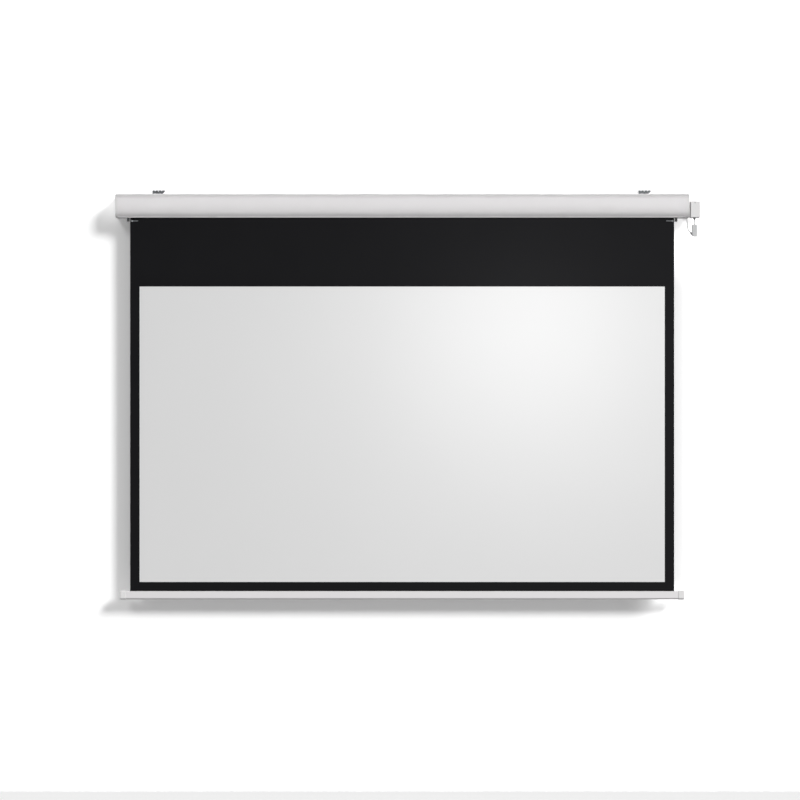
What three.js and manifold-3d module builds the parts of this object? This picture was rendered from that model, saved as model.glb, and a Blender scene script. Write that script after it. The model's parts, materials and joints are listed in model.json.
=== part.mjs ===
// A wall-hung motorized projection screen, drawn fully lowered, in millimetres.
// +X runs to the right along the case, +Y points into the wall and +Z up.
// The origin is the middle of the case's flat back, which lies against the wall.
import * as THREE from "three";
import { mergeVertices } from "three/addons/utils/BufferGeometryUtils.js";
import Module from "manifold-3d";

const wasm = await Module();
wasm.setup();

// Driving dimensions: the projection cloth
const viewingWidth = 2000;
const viewingHeight = 1125;
const sideBorder = 36;
const bottomBorder = 34.5;
const blackDrop = 262;
const backingThickness = 0.35;
const facingThickness = 0.2;
const laminateGap = 0.05;

// Driving dimensions: the case, an extrusion that is open along its underside
const caseDepth = 92;
const caseHeight = 91;
const caseWall = 1.8;
const caseOverhang = 56;
const shoulderRadius = 19;
const rearRadius = 5;
const flatFaceEnd = 39;
const chinHeight = 15.5;
const chinSetback = 2.5;
const frontLipInset = 17;
const slotLipHeight = 19.5;
const wallLap = 2.6;
const slotWidth = 40;
const lipBeadRadius = 2.2;
const portInset = 7.6;
const portRadius = 6.2;
const portHoleRadius = 1.9;

// The end caps
const capThickness = 11;
const capPlate = 4;
const capSkirt = 3;
const capEdge = 2.5;
const capCornerRun = 7.5;
const capCornerDrop = 10;
const capBossRadius = 5.4;
const capScrewHoleRadius = 2.1;
const capScrewRadius = 1.6;
const capScrewLength = 20;
const capScrewHeadRadius = 3.2;
const capScrewHeadHeight = 2.2;
const capCounterboreDepth = 2.6;

// The roller tube and the cloth that stays wound on it
const rollerInset = 38;
const rollerRadius = 25;
const rollerWall = 1.5;
const rollerOverrun = 1;
const windingTurns = 2;
const windingPitch = 0.6;

// The two brackets that carry the roller
const bracketGap = 2.2;
const bracketThickness = 9.5;
const bracketDiscRadius = 28;
const bracketWebWidth = 28;
const bracketWebInset = 32;
const bracketTipWidth = 18;
const bracketTipWall = 1.6;
const bracketTipReach = 14.5;
const bracketFlangeReach = 20;
const bracketFlangeWidth = 16;
const bracketFlangeThickness = 4;
const bracketScrewReach = 12;
const bracketScrewRadius = 2;
const bracketScrewHeadRadius = 3.6;
const bracketScrewHeadHeight = 2.2;

// The guide pins that keep the cloth's edges back
const guidePinRadius = 1.1;
const guidePinLength = 33;
const guidePinRise = 2.2;
const guideCollarRadius = 3.8;
const guideCollarLength = 5.5;
const guideCollarSetback = 8.5;

// The tubular motor inside the roller
const motorRadius = 17.5;
const motorWall = 1.2;
const headSpigotRadius = 18;
const headFlangeRadius = 22;
const headFlangeThickness = 12;
const headFlatDrop = 20;
const limitScrewSpread = 8;
const limitScrewRadius = 2.3;
const limitScrewLength = 9;
const limitScrewStand = 1.5;
const limitSocketRadius = 1.2;
const limitSocketDepth = 2;
const limitSwitchLength = 48;
const capacitorLength = 70;
const statorLength = 90;
const statorBore = 9;
const rotorRadius = 8.5;
const rotorLength = 80;
const rotorShaftRadius = 2.5;
const brakeLength = 40;
const brakeCupWall = 2.2;
const brakeDiscRadius = 13;
const brakeDiscThickness = 4;
const gearboxLength = 110;
const shaftSocketDepth = 14;
const outputShaftRadius = 6;
const outputShaftLength = 54;
const motorPartGap = 6;
const driveWheelWidth = 18;
const driveHubRadius = 11;
const driveRimWall = 4;
const driveSpokes = 6;
const driveSpokeShare = 0.3;
const crownRingWidth = 20;
const crownRingInset = 3;

// The idler end of the roller
const idlerPlugLength = 40;
const idlerLip = 0.8;
const idlerPinRadius = 5;
const idlerPinReach = 34;
const idlerPinHeadRadius = 8;
const idlerPinHeadHeight = 5;
const idlerBushWall = 3;
const idlerBushLength = 24;

// The bottom bar
const barHeight = 31.5;
const barDepth = 24;
const barWall = 1.6;
const barCornerRadius = 3;
const barOverhang = 15;
const barFootRise = 5.5;
const barFootCut = 8;
const barCapLength = 22.5;
const barCapLip = 1.2;
const barCapEdge = 2;
const barSpigotLength = 15;
const kederRadius = 2.4;
const kederMouth = 2.2;
const kederMouthDepth = 3;
const kederWebThickness = 1.6;

// The two hangers
const hangerInset = 162;
const hangerSteel = 2.5;
const hangerHeight = 17.3;
const hangerFootReach = 34;
const hangerLeft = 25.2;
const hangerFootLeft = 24;
const hangerFootRight = 11;
const hangerRight = 21.5;
const hangerEarRise = 3;
const hangerEarBand = 5;
const hangerMidNotch = 4;
const hangerMidNotchDepth = 4.8;
const hangerSideNotch = 3.5;
const hangerSideNotchDepth = 3;
const hangerNotchPitch = 12.5;
const hangerNotchShift = -3;
const hangerBoltSpread = 20;
const hangerBoltInset = 20;
const hangerBoltRadius = 3;
const hangerBoltHeadRadius = 5.8;
const hangerBoltHeadHeight = 4;
const boltRibWidth = 14;
const boltRibDepth = 4;

// The receiver box on the right-hand end
const neckThickness = 6.2;
const neckSetback = 12;
const boxWidth = 35;
const boxDepth = 58;
const boxHeight = 61;
const boxSetback = 12;
const boxRise = 0.8;
const boxWall = 2;
const boxCornerRadius = 3;
const coverThickness = 4;
const coverEdge = 1.5;
const coverRim = 1.2;
const coverScrewRadius = 3;
const coverScrewLength = 9;
const coverPostRadius = 4;
const windowRadius = 1.8;
const windowLength = 4;
const windowStand = 0.6;
const windowDrop = 5.2;
const boardThickness = 1.6;
const boardInset = 6;
const boardMargin = 4;
const relayLength = 20;
const relayWidth = 15;
const relayHeight = 12;
const terminalHeight = 9;
const terminalWidth = 10;
const glandRadius = 4.4;
const glandSleeveRadius = 3.4;
const glandTipRadius = 2.9;
const glandDrop = 8;
const glandSink = 3;
const leadInset = 27;
const leadOffset = 1.6;
const mainsEntrySetback = 14;
const mainsEntryRadius = 4.4;
const mainsEntryStem = 3.4;
const mainsEntryDrop = 2.2;

// The motor lead, the receiver's lead and the connector between them
const leadRadius = 2;
const grommetRadius = 3.2;
const grommetFlangeRadius = 4.2;
const grommetFlange = 1.4;
const grommetOffset = 4.4;
const grommetInset = 52;
const plugWidth = 20.4;
const plugDepth = 12;
const plugCornerRadius = 3;
const plugForward = 3;
const plugDrop = 27.6;
const socketHeight = 22;
const plugHeight = 22.7;
const plugChamferWidth = 6;
const plugChamferHeight = 10;
const collarRadius = 4;
const collarHeight = 2.5;
const bootRadius = 3.1;
const bootTipRadius = 2.6;
const bootLength = 14;
const bootAngle = 0.69;
const bootInset = 5.5;
const bootRise = 6.7;
const leadSocketDepth = 4;

// Clearances and facets
const seam = 0.1;
const clearance = 0.3;
const overrun = 1;
const arcSteps = 6;
const caseArcSteps = 12;
const roundSides = 36;
const smallSides = 16;
const leadSides = 8;
const hexSides = 6;
const cordSteps = 20;

// Sizes that follow from the ones above
const clothWidth = viewingWidth + 2 * sideBorder;
const clothDrop = blackDrop + viewingHeight + bottomBorder;
const caseHalf = clothWidth / 2 + caseOverhang;
const profileHalf = caseHalf - capThickness;
const top = caseHeight / 2;
const bottom = -caseHeight / 2;
const windingInner = rollerRadius + clearance;
const leavingRadius = windingInner + windingPitch * windingTurns;
const windingRadius = leavingRadius + backingThickness;
const clothBack = -(rollerInset + windingRadius + seam);
const rollerHalf = clothWidth / 2 + rollerOverrun;
const bracketFace = clothWidth / 2 + bracketGap;
const bracketOuter = bracketFace + bracketThickness;
const tubeInner = rollerRadius - rollerWall;
const motorInner = motorRadius - motorWall;
const motorPartRadius = motorInner - clearance;
const motorRight = bracketFace - seam;
const clothBottom = bottom - clothDrop;
const barHalf = clothWidth / 2 + barOverhang;
const hangerBoltMiddle = (hangerFootRight - hangerFootLeft) / 2;
const roof = top - caseWall;
const leadHoleRadius = leadRadius + clearance;

// Materials
function material(color, roughness, metalness = 0) {
  return new THREE.MeshStandardMaterial({ color, roughness, metalness });
}
const whitePaint = material(0xdedede, 0.45);
const whitePlastic = material(0xdcdcda, 0.5);
const blackPlastic = material(0x17181a, 0.55);
const greyPlastic = material(0xc2c3c4, 0.5);
const blackCloth = material(0x1c1c1e, 0.85);
const whiteFacing = material(0xe6e6e6, 0.8);
const zincSteel = material(0x6f7372, 0.4, 0.9);
const brightSteel = material(0xb9bcbe, 0.3, 1);
const aluminium = material(0xc9cbcd, 0.35, 1);
const leadPlastic = material(0xd6d6d4, 0.55);
const copperWinding = material(0xa8643a, 0.4, 0.6);
const boardGreen = material(0x2f6b45, 0.5);

// A closed mesh as a solid, with only its positions kept.
function solid(geometry) {
  const plain = geometry.index ? geometry.toNonIndexed() : geometry.clone();
  plain.deleteAttribute("normal");
  plain.deleteAttribute("uv");
  const merged = mergeVertices(plain);
  const made = new wasm.Manifold(
    new wasm.Mesh({
      numProp: 3,
      vertProperties: merged.attributes.position.array,
      triVerts: new Uint32Array(merged.index.array),
    }),
  );
  return made;
}

// A solid back as a flat-shaded geometry.
function geometryOf(body) {
  const mesh = body.getMesh();
  const geometry = new THREE.BufferGeometry();
  geometry.setAttribute("position", new THREE.BufferAttribute(mesh.vertProperties, 3));
  geometry.setIndex(new THREE.BufferAttribute(mesh.triVerts, 1));
  return geometry.toNonIndexed();
}

// One geometry from a base, what is added to it and what is then cut away.
function shaped(base, added = [], cut = []) {
  let body = solid(base);
  for (const geometry of added) body = body.add(solid(geometry));
  for (const geometry of cut) body = body.subtract(solid(geometry));
  const geometry = geometryOf(body);
  geometry.computeVertexNormals();
  return geometry;
}

// A box between two opposite corners.
function box(x0, y0, z0, x1, y1, z1) {
  const geometry = new THREE.BoxGeometry(x1 - x0, y1 - y0, z1 - z0);
  return geometry.translate((x0 + x1) / 2, (y0 + y1) / 2, (z0 + z1) / 2);
}

// An outline in the Y-Z plane, extruded along X from x0 to x1.
function alongX(outline, x0, x1, bevel = { bevelEnabled: false }) {
  const geometry = new THREE.ExtrudeGeometry(outline, { depth: x1 - x0, curveSegments: arcSteps, ...bevel });
  const turn = new THREE.Matrix4().set(0, 0, 1, 0, 1, 0, 0, 0, 0, 1, 0, 0, 0, 0, 0, 1);
  return geometry.applyMatrix4(turn).translate(x0, 0, 0);
}

// An outline in the X-Z plane, extruded along Y from y0 to y1.
function alongY(outline, y0, y1) {
  const geometry = new THREE.ExtrudeGeometry(outline, {
    depth: y1 - y0,
    curveSegments: arcSteps,
    bevelEnabled: false,
  });
  return geometry.rotateX(Math.PI / 2).translate(0, y1, 0);
}

// An outline in the X-Y plane, extruded up from z0 to z1.
function alongZ(outline, z0, z1) {
  const geometry = new THREE.ExtrudeGeometry(outline, {
    depth: z1 - z0,
    curveSegments: arcSteps,
    bevelEnabled: false,
  });
  return geometry.translate(0, 0, z0);
}

// A turned piece about the Y axis. Its profile is a list of [radius, place along the axis], taken
// counter-clockwise: a piece with a bore closes on itself, and any other starts and ends on the axis.
function turned(profile, sides = smallSides) {
  const points = profile.map(([radius, along]) => new THREE.Vector2(radius, along));
  if (points[0].x > 0) points.push(points[0].clone());
  return new THREE.LatheGeometry(points, sides);
}

function turnedX(profile, sides) {
  return turned(profile, sides).rotateZ(-Math.PI / 2);
}

function turnedZ(profile, sides) {
  return turned(profile, sides).rotateX(Math.PI / 2);
}

// The profile of a plain rod, and of a plain ring.
function rod(radius, from, to) {
  return [
    [0, from],
    [radius, from],
    [radius, to],
    [0, to],
  ];
}

function ring(inner, outer, from, to) {
  return [
    [inner, from],
    [outer, from],
    [outer, to],
    [inner, to],
  ];
}

// Points along an arc, from one angle to another.
function arc(x, y, radius, from, to, steps = arcSteps) {
  const points = [];
  for (let i = 0; i <= steps; i++) {
    const angle = from + ((to - from) * i) / steps;
    points.push(new THREE.Vector2(x + radius * Math.cos(angle), y + radius * Math.sin(angle)));
  }
  return points;
}

// A line of points moved sideways, to its left for a positive distance.
function offset(points, distance, closed = false) {
  const count = points.length;
  return points.map((point, i) => {
    const before = closed || i > 0 ? points[(i + count - 1) % count] : point;
    const after = closed || i < count - 1 ? points[(i + 1) % count] : point;
    const into = point.clone().sub(before);
    const out = after.clone().sub(point);
    if (into.length() === 0) into.copy(out);
    if (out.length() === 0) out.copy(into);
    const first = new THREE.Vector2(-into.y, into.x).normalize();
    const second = new THREE.Vector2(-out.y, out.x).normalize();
    const mitre = first.clone().add(second);
    return point.clone().add(mitre.multiplyScalar(distance / (1 + first.dot(second))));
  });
}

// A rectangle with rounded corners, about a centre.
function roundedRectangle(x, y, width, height, radius) {
  const right = x + width / 2 - radius;
  const left = x - width / 2 + radius;
  const upper = y + height / 2 - radius;
  const lower = y - height / 2 + radius;
  const quarter = Math.PI / 2;
  return [
    ...arc(right, lower, radius, -quarter, 0),
    ...arc(right, upper, radius, 0, quarter),
    ...arc(left, upper, radius, quarter, 2 * quarter),
    ...arc(left, lower, radius, 2 * quarter, 3 * quarter),
  ];
}

function outlineOf(points, ...holes) {
  const outline = new THREE.Shape(points);
  for (const hole of holes) outline.holes.push(new THREE.Path(hole));
  return outline;
}

function named(name, geometry, finish) {
  const mesh = new THREE.Mesh(geometry, finish);
  mesh.name = name;
  return mesh;
}

function groupAt(x, y, z, ...members) {
  const group = new THREE.Group();
  group.position.set(x, y, z);
  group.add(...members);
  return group;
}

// The large radius under the front face: it meets the slanting chin and runs on to the underside's level.
const chinTop = bottom + flatFaceEnd;
const chinBottom = chinTop - chinHeight;
const chinSlope = Math.atan2(chinSetback, chinHeight);
const chinRadius = (chinBottom - bottom) / (1 - Math.sin(chinSlope));
const chinCentreY = -caseDepth + chinSetback + chinRadius * Math.cos(chinSlope);
const chinCentreZ = chinBottom + chinRadius * Math.sin(chinSlope);
const frontLip = -caseDepth + frontLipInset;
const rearLip = frontLip + slotWidth;
const frontLipAngle = 2 * Math.PI - Math.acos((frontLip - chinCentreY) / chinRadius);

// The outside of the case's section is drawn counter-clockwise seen from the right, in two parts: from the
// rear lip over the roof to the foot of the shoulder, and from there down the front to a place on the chin.
const shoulderFoot = top - shoulderRadius;

function caseUpper() {
  const quarter = Math.PI / 2;
  return [
    ...arc(-rearRadius, bottom + rearRadius, rearRadius, -quarter, 0),
    ...arc(-rearRadius, top - rearRadius, rearRadius, 0, quarter),
    ...arc(-caseDepth + shoulderRadius, shoulderFoot, shoulderRadius, quarter, 2 * quarter, caseArcSteps),
  ];
}

function caseFront(lastAngle) {
  return [
    new THREE.Vector2(-caseDepth, chinTop),
    ...chinArc(chinRadius, Math.PI + chinSlope, lastAngle),
  ];
}

function chinArc(radius, from, to) {
  return arc(chinCentreY, chinCentreZ, radius, from, to, caseArcSteps);
}

// The front is closed by two extrusions that come off to reach the roller, the front panel and the slot lip.
// At each joint half of the wall laps over the other half. The lower one lies on the chin's radius.
const outerHalf = (caseWall - seam) / 2;
const innerHalf = (caseWall + seam) / 2;
const chinAngleAt = (height) => Math.PI + Math.asin((chinCentreZ - bottom - height) / chinRadius);
const lapStart = chinAngleAt(slotLipHeight);
const lapEnd = chinAngleAt(slotLipHeight - wallLap);
const lapSeam = seam / chinRadius;

// Where the end-cap screws run: inside the shoulder, and inside the rear bottom corner.
const shoulderDiagonal = (shoulderRadius - portInset) * Math.SQRT1_2;
const screwPorts = [
  [-caseDepth + shoulderRadius - shoulderDiagonal, top - shoulderRadius + shoulderDiagonal],
  [-portInset, bottom + portInset],
];

function caseProfile() {
  const outside = [new THREE.Vector2(rearLip, bottom), ...caseUpper()];
  const walls = alongX(
    outlineOf([
      ...outside,
      new THREE.Vector2(-caseDepth, shoulderFoot - wallLap),
      new THREE.Vector2(-caseDepth + outerHalf, shoulderFoot - wallLap),
      new THREE.Vector2(-caseDepth + outerHalf, shoulderFoot),
      ...offset(outside, caseWall).reverse(),
    ]),
    -profileHalf,
    profileHalf,
  );
  const boltRib = box(
    -bracketFace + clearance,
    -hangerBoltInset - boltRibWidth / 2,
    roof - boltRibDepth,
    bracketFace - clearance,
    -hangerBoltInset + boltRibWidth / 2,
    roof + caseWall / 2,
  );
  const run = profileHalf + overrun;
  const ports = screwPorts.map(([y, z]) =>
    turnedX(rod(portRadius, -profileHalf, profileHalf)).translate(0, y, z),
  );
  const portHoles = screwPorts.map(([y, z]) => turnedX(rod(portHoleRadius, -run, run)).translate(0, y, z));
  const roofHole = (radius, x, y) =>
    turnedZ(rod(radius + clearance, roof - boltRibDepth - overrun, top + overrun)).translate(x, y, 0);
  const roofHoles = [-1, 1].flatMap((side) => [
    roofHole(bracketScrewRadius, side * bracketScrewX, bracketScrewY),
    ...[-1, 1].map((place) => {
      const x = side * (caseHalf - hangerInset) + hangerBoltMiddle + (place * hangerBoltSpread) / 2;
      return roofHole(hangerBoltRadius, x, -hangerBoltInset);
    }),
  ]);
  return shaped(walls, [boltRib, ...ports], [...portHoles, ...roofHoles]);
}

// The flat front with the upper part of the chin.
function frontPanel() {
  const innerTop = new THREE.Vector2(-caseDepth, shoulderFoot - clearance);
  return alongX(
    outlineOf([
      new THREE.Vector2(-caseDepth, shoulderFoot - wallLap - seam),
      ...caseFront(lapEnd),
      ...chinArc(chinRadius - outerHalf, lapEnd, lapStart),
      ...offset([innerTop, ...caseFront(lapStart)], caseWall).reverse(),
      new THREE.Vector2(-caseDepth + innerHalf, shoulderFoot - clearance),
      new THREE.Vector2(-caseDepth + innerHalf, shoulderFoot - wallLap - seam),
    ]),
    -profileHalf,
    profileHalf,
  );
}

// The slot lip: the rest of the chin, with a bead along its edge for the cloth to pass.
function slotLip() {
  const wall = alongX(
    outlineOf([
      ...chinArc(chinRadius, lapEnd + lapSeam, frontLipAngle),
      ...chinArc(chinRadius - caseWall, frontLipAngle, lapStart + lapSeam),
      ...chinArc(chinRadius - innerHalf, lapStart + lapSeam, lapEnd + lapSeam),
    ]),
    -profileHalf,
    profileHalf,
  );
  const bead = turnedX(rod(lipBeadRadius, -profileHalf, profileHalf)).translate(
    0,
    frontLip,
    bottom + lipBeadRadius,
  );
  return shaped(wall, [bead], []);
}

// The front view of a cap: square below, and an elliptical corner above.
function capFront() {
  const inner = profileHalf + seam;
  const corner = arc(0, 0, 1, 0, Math.PI / 2).map(
    (point) =>
      new THREE.Vector2(
        caseHalf - capCornerRun + capCornerRun * point.x,
        top - capCornerDrop + capCornerDrop * point.y,
      ),
  );
  return outlineOf([
    new THREE.Vector2(inner, bottom - overrun),
    new THREE.Vector2(caseHalf, bottom - overrun),
    ...corner,
    new THREE.Vector2(inner, top),
  ]);
}

// A cap for the right-hand end. The left one is its mirror image, without the lead's hole.
function endCap(side) {
  const outline = [...caseUpper(), ...caseFront(1.5 * Math.PI)];
  const inner = profileHalf + seam;
  const rounding = {
    bevelEnabled: true,
    bevelThickness: capEdge,
    bevelSize: capEdge,
    bevelOffset: -capEdge,
    bevelSegments: arcSteps,
  };
  const block = alongX(outlineOf(outline), inner, caseHalf - capEdge, rounding);
  const front = alongY(capFront(), -caseDepth - overrun, overrun);
  const pocket = alongX(
    outlineOf(offset(outline, capSkirt, true)),
    inner - overrun,
    caseHalf - capPlate,
  );
  const bosses = screwPorts.map(([y, z]) =>
    turnedX(rod(capBossRadius, inner, caseHalf - capPlate / 2)).translate(0, y, z),
  );
  const holes = screwPorts.flatMap(([y, z]) => [
    turnedX(rod(capScrewHoleRadius, inner - overrun, caseHalf + overrun)).translate(0, y, z),
    turnedX(
      rod(capScrewHeadRadius + clearance, caseHalf - capCounterboreDepth, caseHalf + overrun),
    ).translate(0, y, z),
  ]);
  const leadHole = turnedZ(
    rod(grommetRadius + clearance, bottom - overrun, bottom + capSkirt + overrun),
  ).translate(leadX, leadY, 0);
  let shell = solid(block).intersect(solid(front)).subtract(solid(pocket));
  for (const boss of bosses) shell = shell.add(solid(boss));
  for (const hole of side > 0 ? [...holes, leadHole] : holes) shell = shell.subtract(solid(hole));
  if (side < 0) shell = shell.mirror([1, 0, 0]);
  const geometry = geometryOf(shell);
  geometry.computeVertexNormals();
  return geometry;
}

// A pan-head screw along X, driven inwards from the right when side is 1 and from the left when it is -1.
function endCapScrew(side) {
  const under = caseHalf - capCounterboreDepth + seam;
  const profile = [
    [0, under - capScrewLength],
    [capScrewRadius, under - capScrewLength + capScrewRadius],
    [capScrewRadius, under],
    [capScrewHeadRadius, under],
    [capScrewHeadRadius - capScrewHeadHeight / 4, under + capScrewHeadHeight],
    [0, under + capScrewHeadHeight],
  ];
  const geometry = turnedX(profile);
  return side > 0 ? geometry : geometry.rotateZ(Math.PI);
}

// The outline of a roller bracket: a disc round the axis, a web up to the roof and a tip below the case.
const bracketTop = roof - seam;
const bracketBottom = bottom - bracketTipReach;
const guidePinY = clothBack - backingThickness - clearance - guideCollarRadius;
const guidePinZ = bracketBottom + guidePinRise;
const bracketTipFront = guidePinY - guidePinRadius - clearance - bracketTipWall;
const bracketScrewX = bracketFace - bracketScrewReach;
const bracketScrewY = -(bracketWebInset + bracketWebWidth / 2);

function rollerBracket(side) {
  const inner = side > 0 ? bracketFace : -bracketOuter;
  const outer = inner + bracketThickness;
  const disc = turnedX(rod(bracketDiscRadius, inner, outer), roundSides).translate(0, -rollerInset, 0);
  const web = box(
    inner,
    -bracketWebInset - bracketWebWidth,
    0,
    outer,
    -bracketWebInset,
    bracketTop,
  );
  const tip = box(inner, bracketTipFront, bracketBottom, outer, bracketTipFront + bracketTipWidth, 0);
  const flangeInner = side > 0 ? inner - bracketFlangeReach : outer;
  const flange = box(
    flangeInner - (side > 0 ? 0 : bracketThickness / 2),
    bracketScrewY - bracketFlangeWidth / 2,
    bracketTop - bracketFlangeThickness,
    flangeInner + bracketFlangeReach + (side > 0 ? bracketThickness / 2 : 0),
    bracketScrewY + bracketFlangeWidth / 2,
    bracketTop,
  );
  const boreRadius = (side > 0 ? headSpigotRadius : idlerPinRadius) + clearance;
  const bore = turnedX(rod(boreRadius, inner - overrun, outer + overrun), roundSides);
  const screwHole = turnedZ(
    rod(bracketScrewRadius + clearance, bracketTop - bracketFlangeThickness - overrun, bracketTop + overrun),
  );
  const pinHole = turnedX(rod(guidePinRadius + clearance, inner - overrun, outer + overrun));
  return shaped(
    disc,
    [web, tip, flange],
    [
      bore.translate(0, -rollerInset, 0),
      screwHole.translate(side * bracketScrewX, bracketScrewY, 0),
      pinHole.translate(0, guidePinY, guidePinZ),
    ],
  );
}

function bracketScrew() {
  const under = top + seam;
  const end = bracketTop - bracketFlangeThickness;
  return turnedZ([
    [0, end],
    [bracketScrewRadius, end],
    [bracketScrewRadius, under],
    [bracketScrewHeadRadius, under],
    [bracketScrewHeadRadius - bracketScrewHeadHeight / 2, under + bracketScrewHeadHeight],
    [0, under + bracketScrewHeadHeight],
  ]);
}

// A steel pin with a tapered collar. It runs inwards from the bracket's tip, in front of the cloth's edge.
function guidePin(side) {
  const root = bracketOuter - bracketThickness / 4;
  const tipEnd = bracketFace - guidePinLength;
  const collarEnd = bracketFace - guideCollarSetback;
  const geometry = turnedX([
    [0, tipEnd],
    [guidePinRadius, tipEnd + guidePinRadius / 2],
    [guidePinRadius, collarEnd - guideCollarLength],
    [guideCollarRadius, collarEnd - guidePinRadius],
    [guideCollarRadius, collarEnd],
    [guidePinRadius, collarEnd],
    [guidePinRadius, root],
    [0, root],
  ]);
  return side > 0 ? geometry : geometry.rotateZ(Math.PI);
}

// The cloth that stays wound on the tube when the screen is down: it leaves the tube at the front.
function clothWinding() {
  const steps = windingTurns * roundSides;
  const outer = [];
  const inner = [];
  for (let i = 0; i <= steps; i++) {
    const back = (2 * Math.PI * windingTurns * i) / steps;
    const radius = leavingRadius - (windingPitch * back) / (2 * Math.PI);
    const angle = Math.PI - back;
    const far = radius + backingThickness;
    inner.push(new THREE.Vector2(radius * Math.cos(angle), radius * Math.sin(angle)));
    outer.push(new THREE.Vector2(far * Math.cos(angle), far * Math.sin(angle)));
  }
  return alongX(outlineOf([...inner, ...outer.reverse()]), -clothWidth / 2, clothWidth / 2);
}

// The hanging cloth: a black backing the whole way, and the white facing laminated to its front.
const clothTop = -seam;
const clothEnd = clothBottom - kederMouthDepth;

function hangingBacking() {
  const half = clothWidth / 2;
  return box(-half, clothBack - backingThickness, clothEnd, half, clothBack, clothTop);
}

function viewingFacing() {
  const back = clothBack - backingThickness - laminateGap;
  const upper = bottom - blackDrop;
  const half = viewingWidth / 2;
  return box(-half, back - facingThickness, upper - viewingHeight, half, back, upper);
}

// The bottom bar's section, about the cloth's plane, with the channel that holds the cloth's welt.
const barTop = clothBottom;
const barY = clothBack - backingThickness / 2;
const kederChannelRadius = kederRadius + clearance;
const kederZ = barTop - kederMouthDepth - kederRadius - seam;

// A box that is grown by a distance, with its two lower edges cut off at a slant.
function barSection(grow, upper, radius) {
  const half = barDepth / 2 + grow;
  const slant = Math.atan2(barFootCut, barFootRise);
  const low = barTop - barHeight - grow;
  const knee = barTop - barHeight + barFootRise - grow * Math.tan(slant / 2);
  const toe = barDepth / 2 - barFootCut + grow * Math.tan(Math.PI / 4 - slant / 2);
  const quarter = Math.PI / 2;
  return [
    new THREE.Vector2(barY + toe, low),
    new THREE.Vector2(barY + half, knee),
    ...arc(barY + half - radius, upper - radius, radius, 0, quarter),
    ...arc(barY - half + radius, upper - radius, radius, quarter, 2 * quarter),
    new THREE.Vector2(barY - half, knee),
    new THREE.Vector2(barY - toe, low),
  ];
}

function barOutside(grow) {
  return barSection(grow, barTop + grow, barCornerRadius);
}

const cavityTop = kederZ - kederChannelRadius - kederWebThickness;

function barCavity(shrink) {
  return barSection(-barWall - shrink, cavityTop - shrink, barWall);
}

function bottomBar() {
  const run = barHalf + overrun;
  const tube = alongX(outlineOf(barOutside(0), barCavity(0)), -barHalf, barHalf);
  const channel = turnedX(rod(kederChannelRadius, -run, run)).translate(0, barY, kederZ);
  const mouth = box(-run, barY - kederMouth / 2, kederZ, run, barY + kederMouth / 2, barTop + overrun);
  return shaped(tube, [], [channel, mouth]);
}

function barCap(side) {
  const outer = barHalf + barCapLength;
  const rounding = {
    bevelEnabled: true,
    bevelThickness: barCapEdge,
    bevelSize: barCapEdge,
    bevelOffset: -barCapEdge,
    bevelSegments: arcSteps - 2,
  };
  const start = barHalf + seam;
  const block = alongX(outlineOf(barOutside(barCapLip)), start + barCapEdge, outer - barCapEdge, rounding);
  const spigot = alongX(outlineOf(barCavity(clearance)), barHalf - barSpigotLength, start + 2 * barCapEdge);
  const geometry = shaped(block, [spigot]);
  return side > 0 ? geometry : geometry.rotateZ(Math.PI).translate(0, 2 * barY, 0);
}

// The roller, in its own frame: its axis is the X axis.
function rollerTube() {
  return turnedX(ring(tubeInner, rollerRadius, -rollerHalf, rollerHalf), roundSides);
}

const idlerBushRadius = idlerPinRadius + clearance + idlerBushWall;

function idlerPlug() {
  const lip = rollerRadius - rollerWall / 2;
  const end = -rollerHalf - seam;
  return turnedX(
    [
      [idlerBushRadius + clearance, end - idlerLip],
      [lip, end - idlerLip],
      [lip, end],
      [tubeInner - clearance, end],
      [tubeInner - clearance, end + idlerPlugLength],
      [idlerBushRadius + clearance, end + idlerPlugLength],
    ],
    roundSides,
  );
}

function idlerBush() {
  return turnedX(
    ring(idlerPinRadius + clearance, idlerBushRadius, -rollerHalf - idlerLip, -rollerHalf + idlerBushLength),
  );
}

function idlerPin() {
  const headFrom = -bracketOuter - seam - idlerPinHeadHeight;
  return turnedX([
    [0, headFrom],
    [idlerPinHeadRadius, headFrom],
    [idlerPinHeadRadius, headFrom + idlerPinHeadHeight],
    [idlerPinRadius, headFrom + idlerPinHeadHeight],
    [idlerPinRadius, -bracketFace + idlerPinReach],
    [0, -bracketFace + idlerPinReach],
  ]);
}

// The motor, in the roller's frame. Its parts follow each other from the head on the right to the wheel.
const headStart = motorRight + seam;
const limitSwitchEnd = motorRight - clearance;
const capacitorEnd = limitSwitchEnd - limitSwitchLength - motorPartGap;
const statorEnd = capacitorEnd - capacitorLength - motorPartGap;
const brakeEnd = statorEnd - statorLength - motorPartGap;
const gearboxEnd = brakeEnd - brakeLength - seam;
const gearboxStart = gearboxEnd - gearboxLength;
const shaftStart = gearboxStart + shaftSocketDepth - outputShaftLength;
const rotorMiddle = statorEnd - statorLength / 2;
const motorLeft = gearboxStart - motorPartGap / 2;

const limitScrewX = bracketOuter + seam + headFlangeThickness / 2;
const limitScrewTop = -headFlatDrop - limitScrewStand + limitScrewLength;

function motorHead() {
  const spigot = turnedX(rod(headSpigotRadius, headStart, bracketOuter + overrun), roundSides);
  const flange = turnedX(
    rod(headFlangeRadius, bracketOuter + seam, bracketOuter + seam + headFlangeThickness),
    roundSides,
  );
  const reach = 2 * headFlangeRadius;
  const flat = box(
    headStart - overrun,
    -reach,
    -reach,
    bracketOuter + 2 * headFlangeThickness,
    reach,
    -headFlatDrop,
  );
  const holes = [-1, 1].map((side) =>
    turnedZ(rod(limitScrewRadius + clearance, -reach, limitScrewTop + clearance)).translate(
      limitScrewX,
      side * limitScrewSpread,
      0,
    ),
  );
  return shaped(spigot, [flange], [flat, ...holes]);
}

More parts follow.
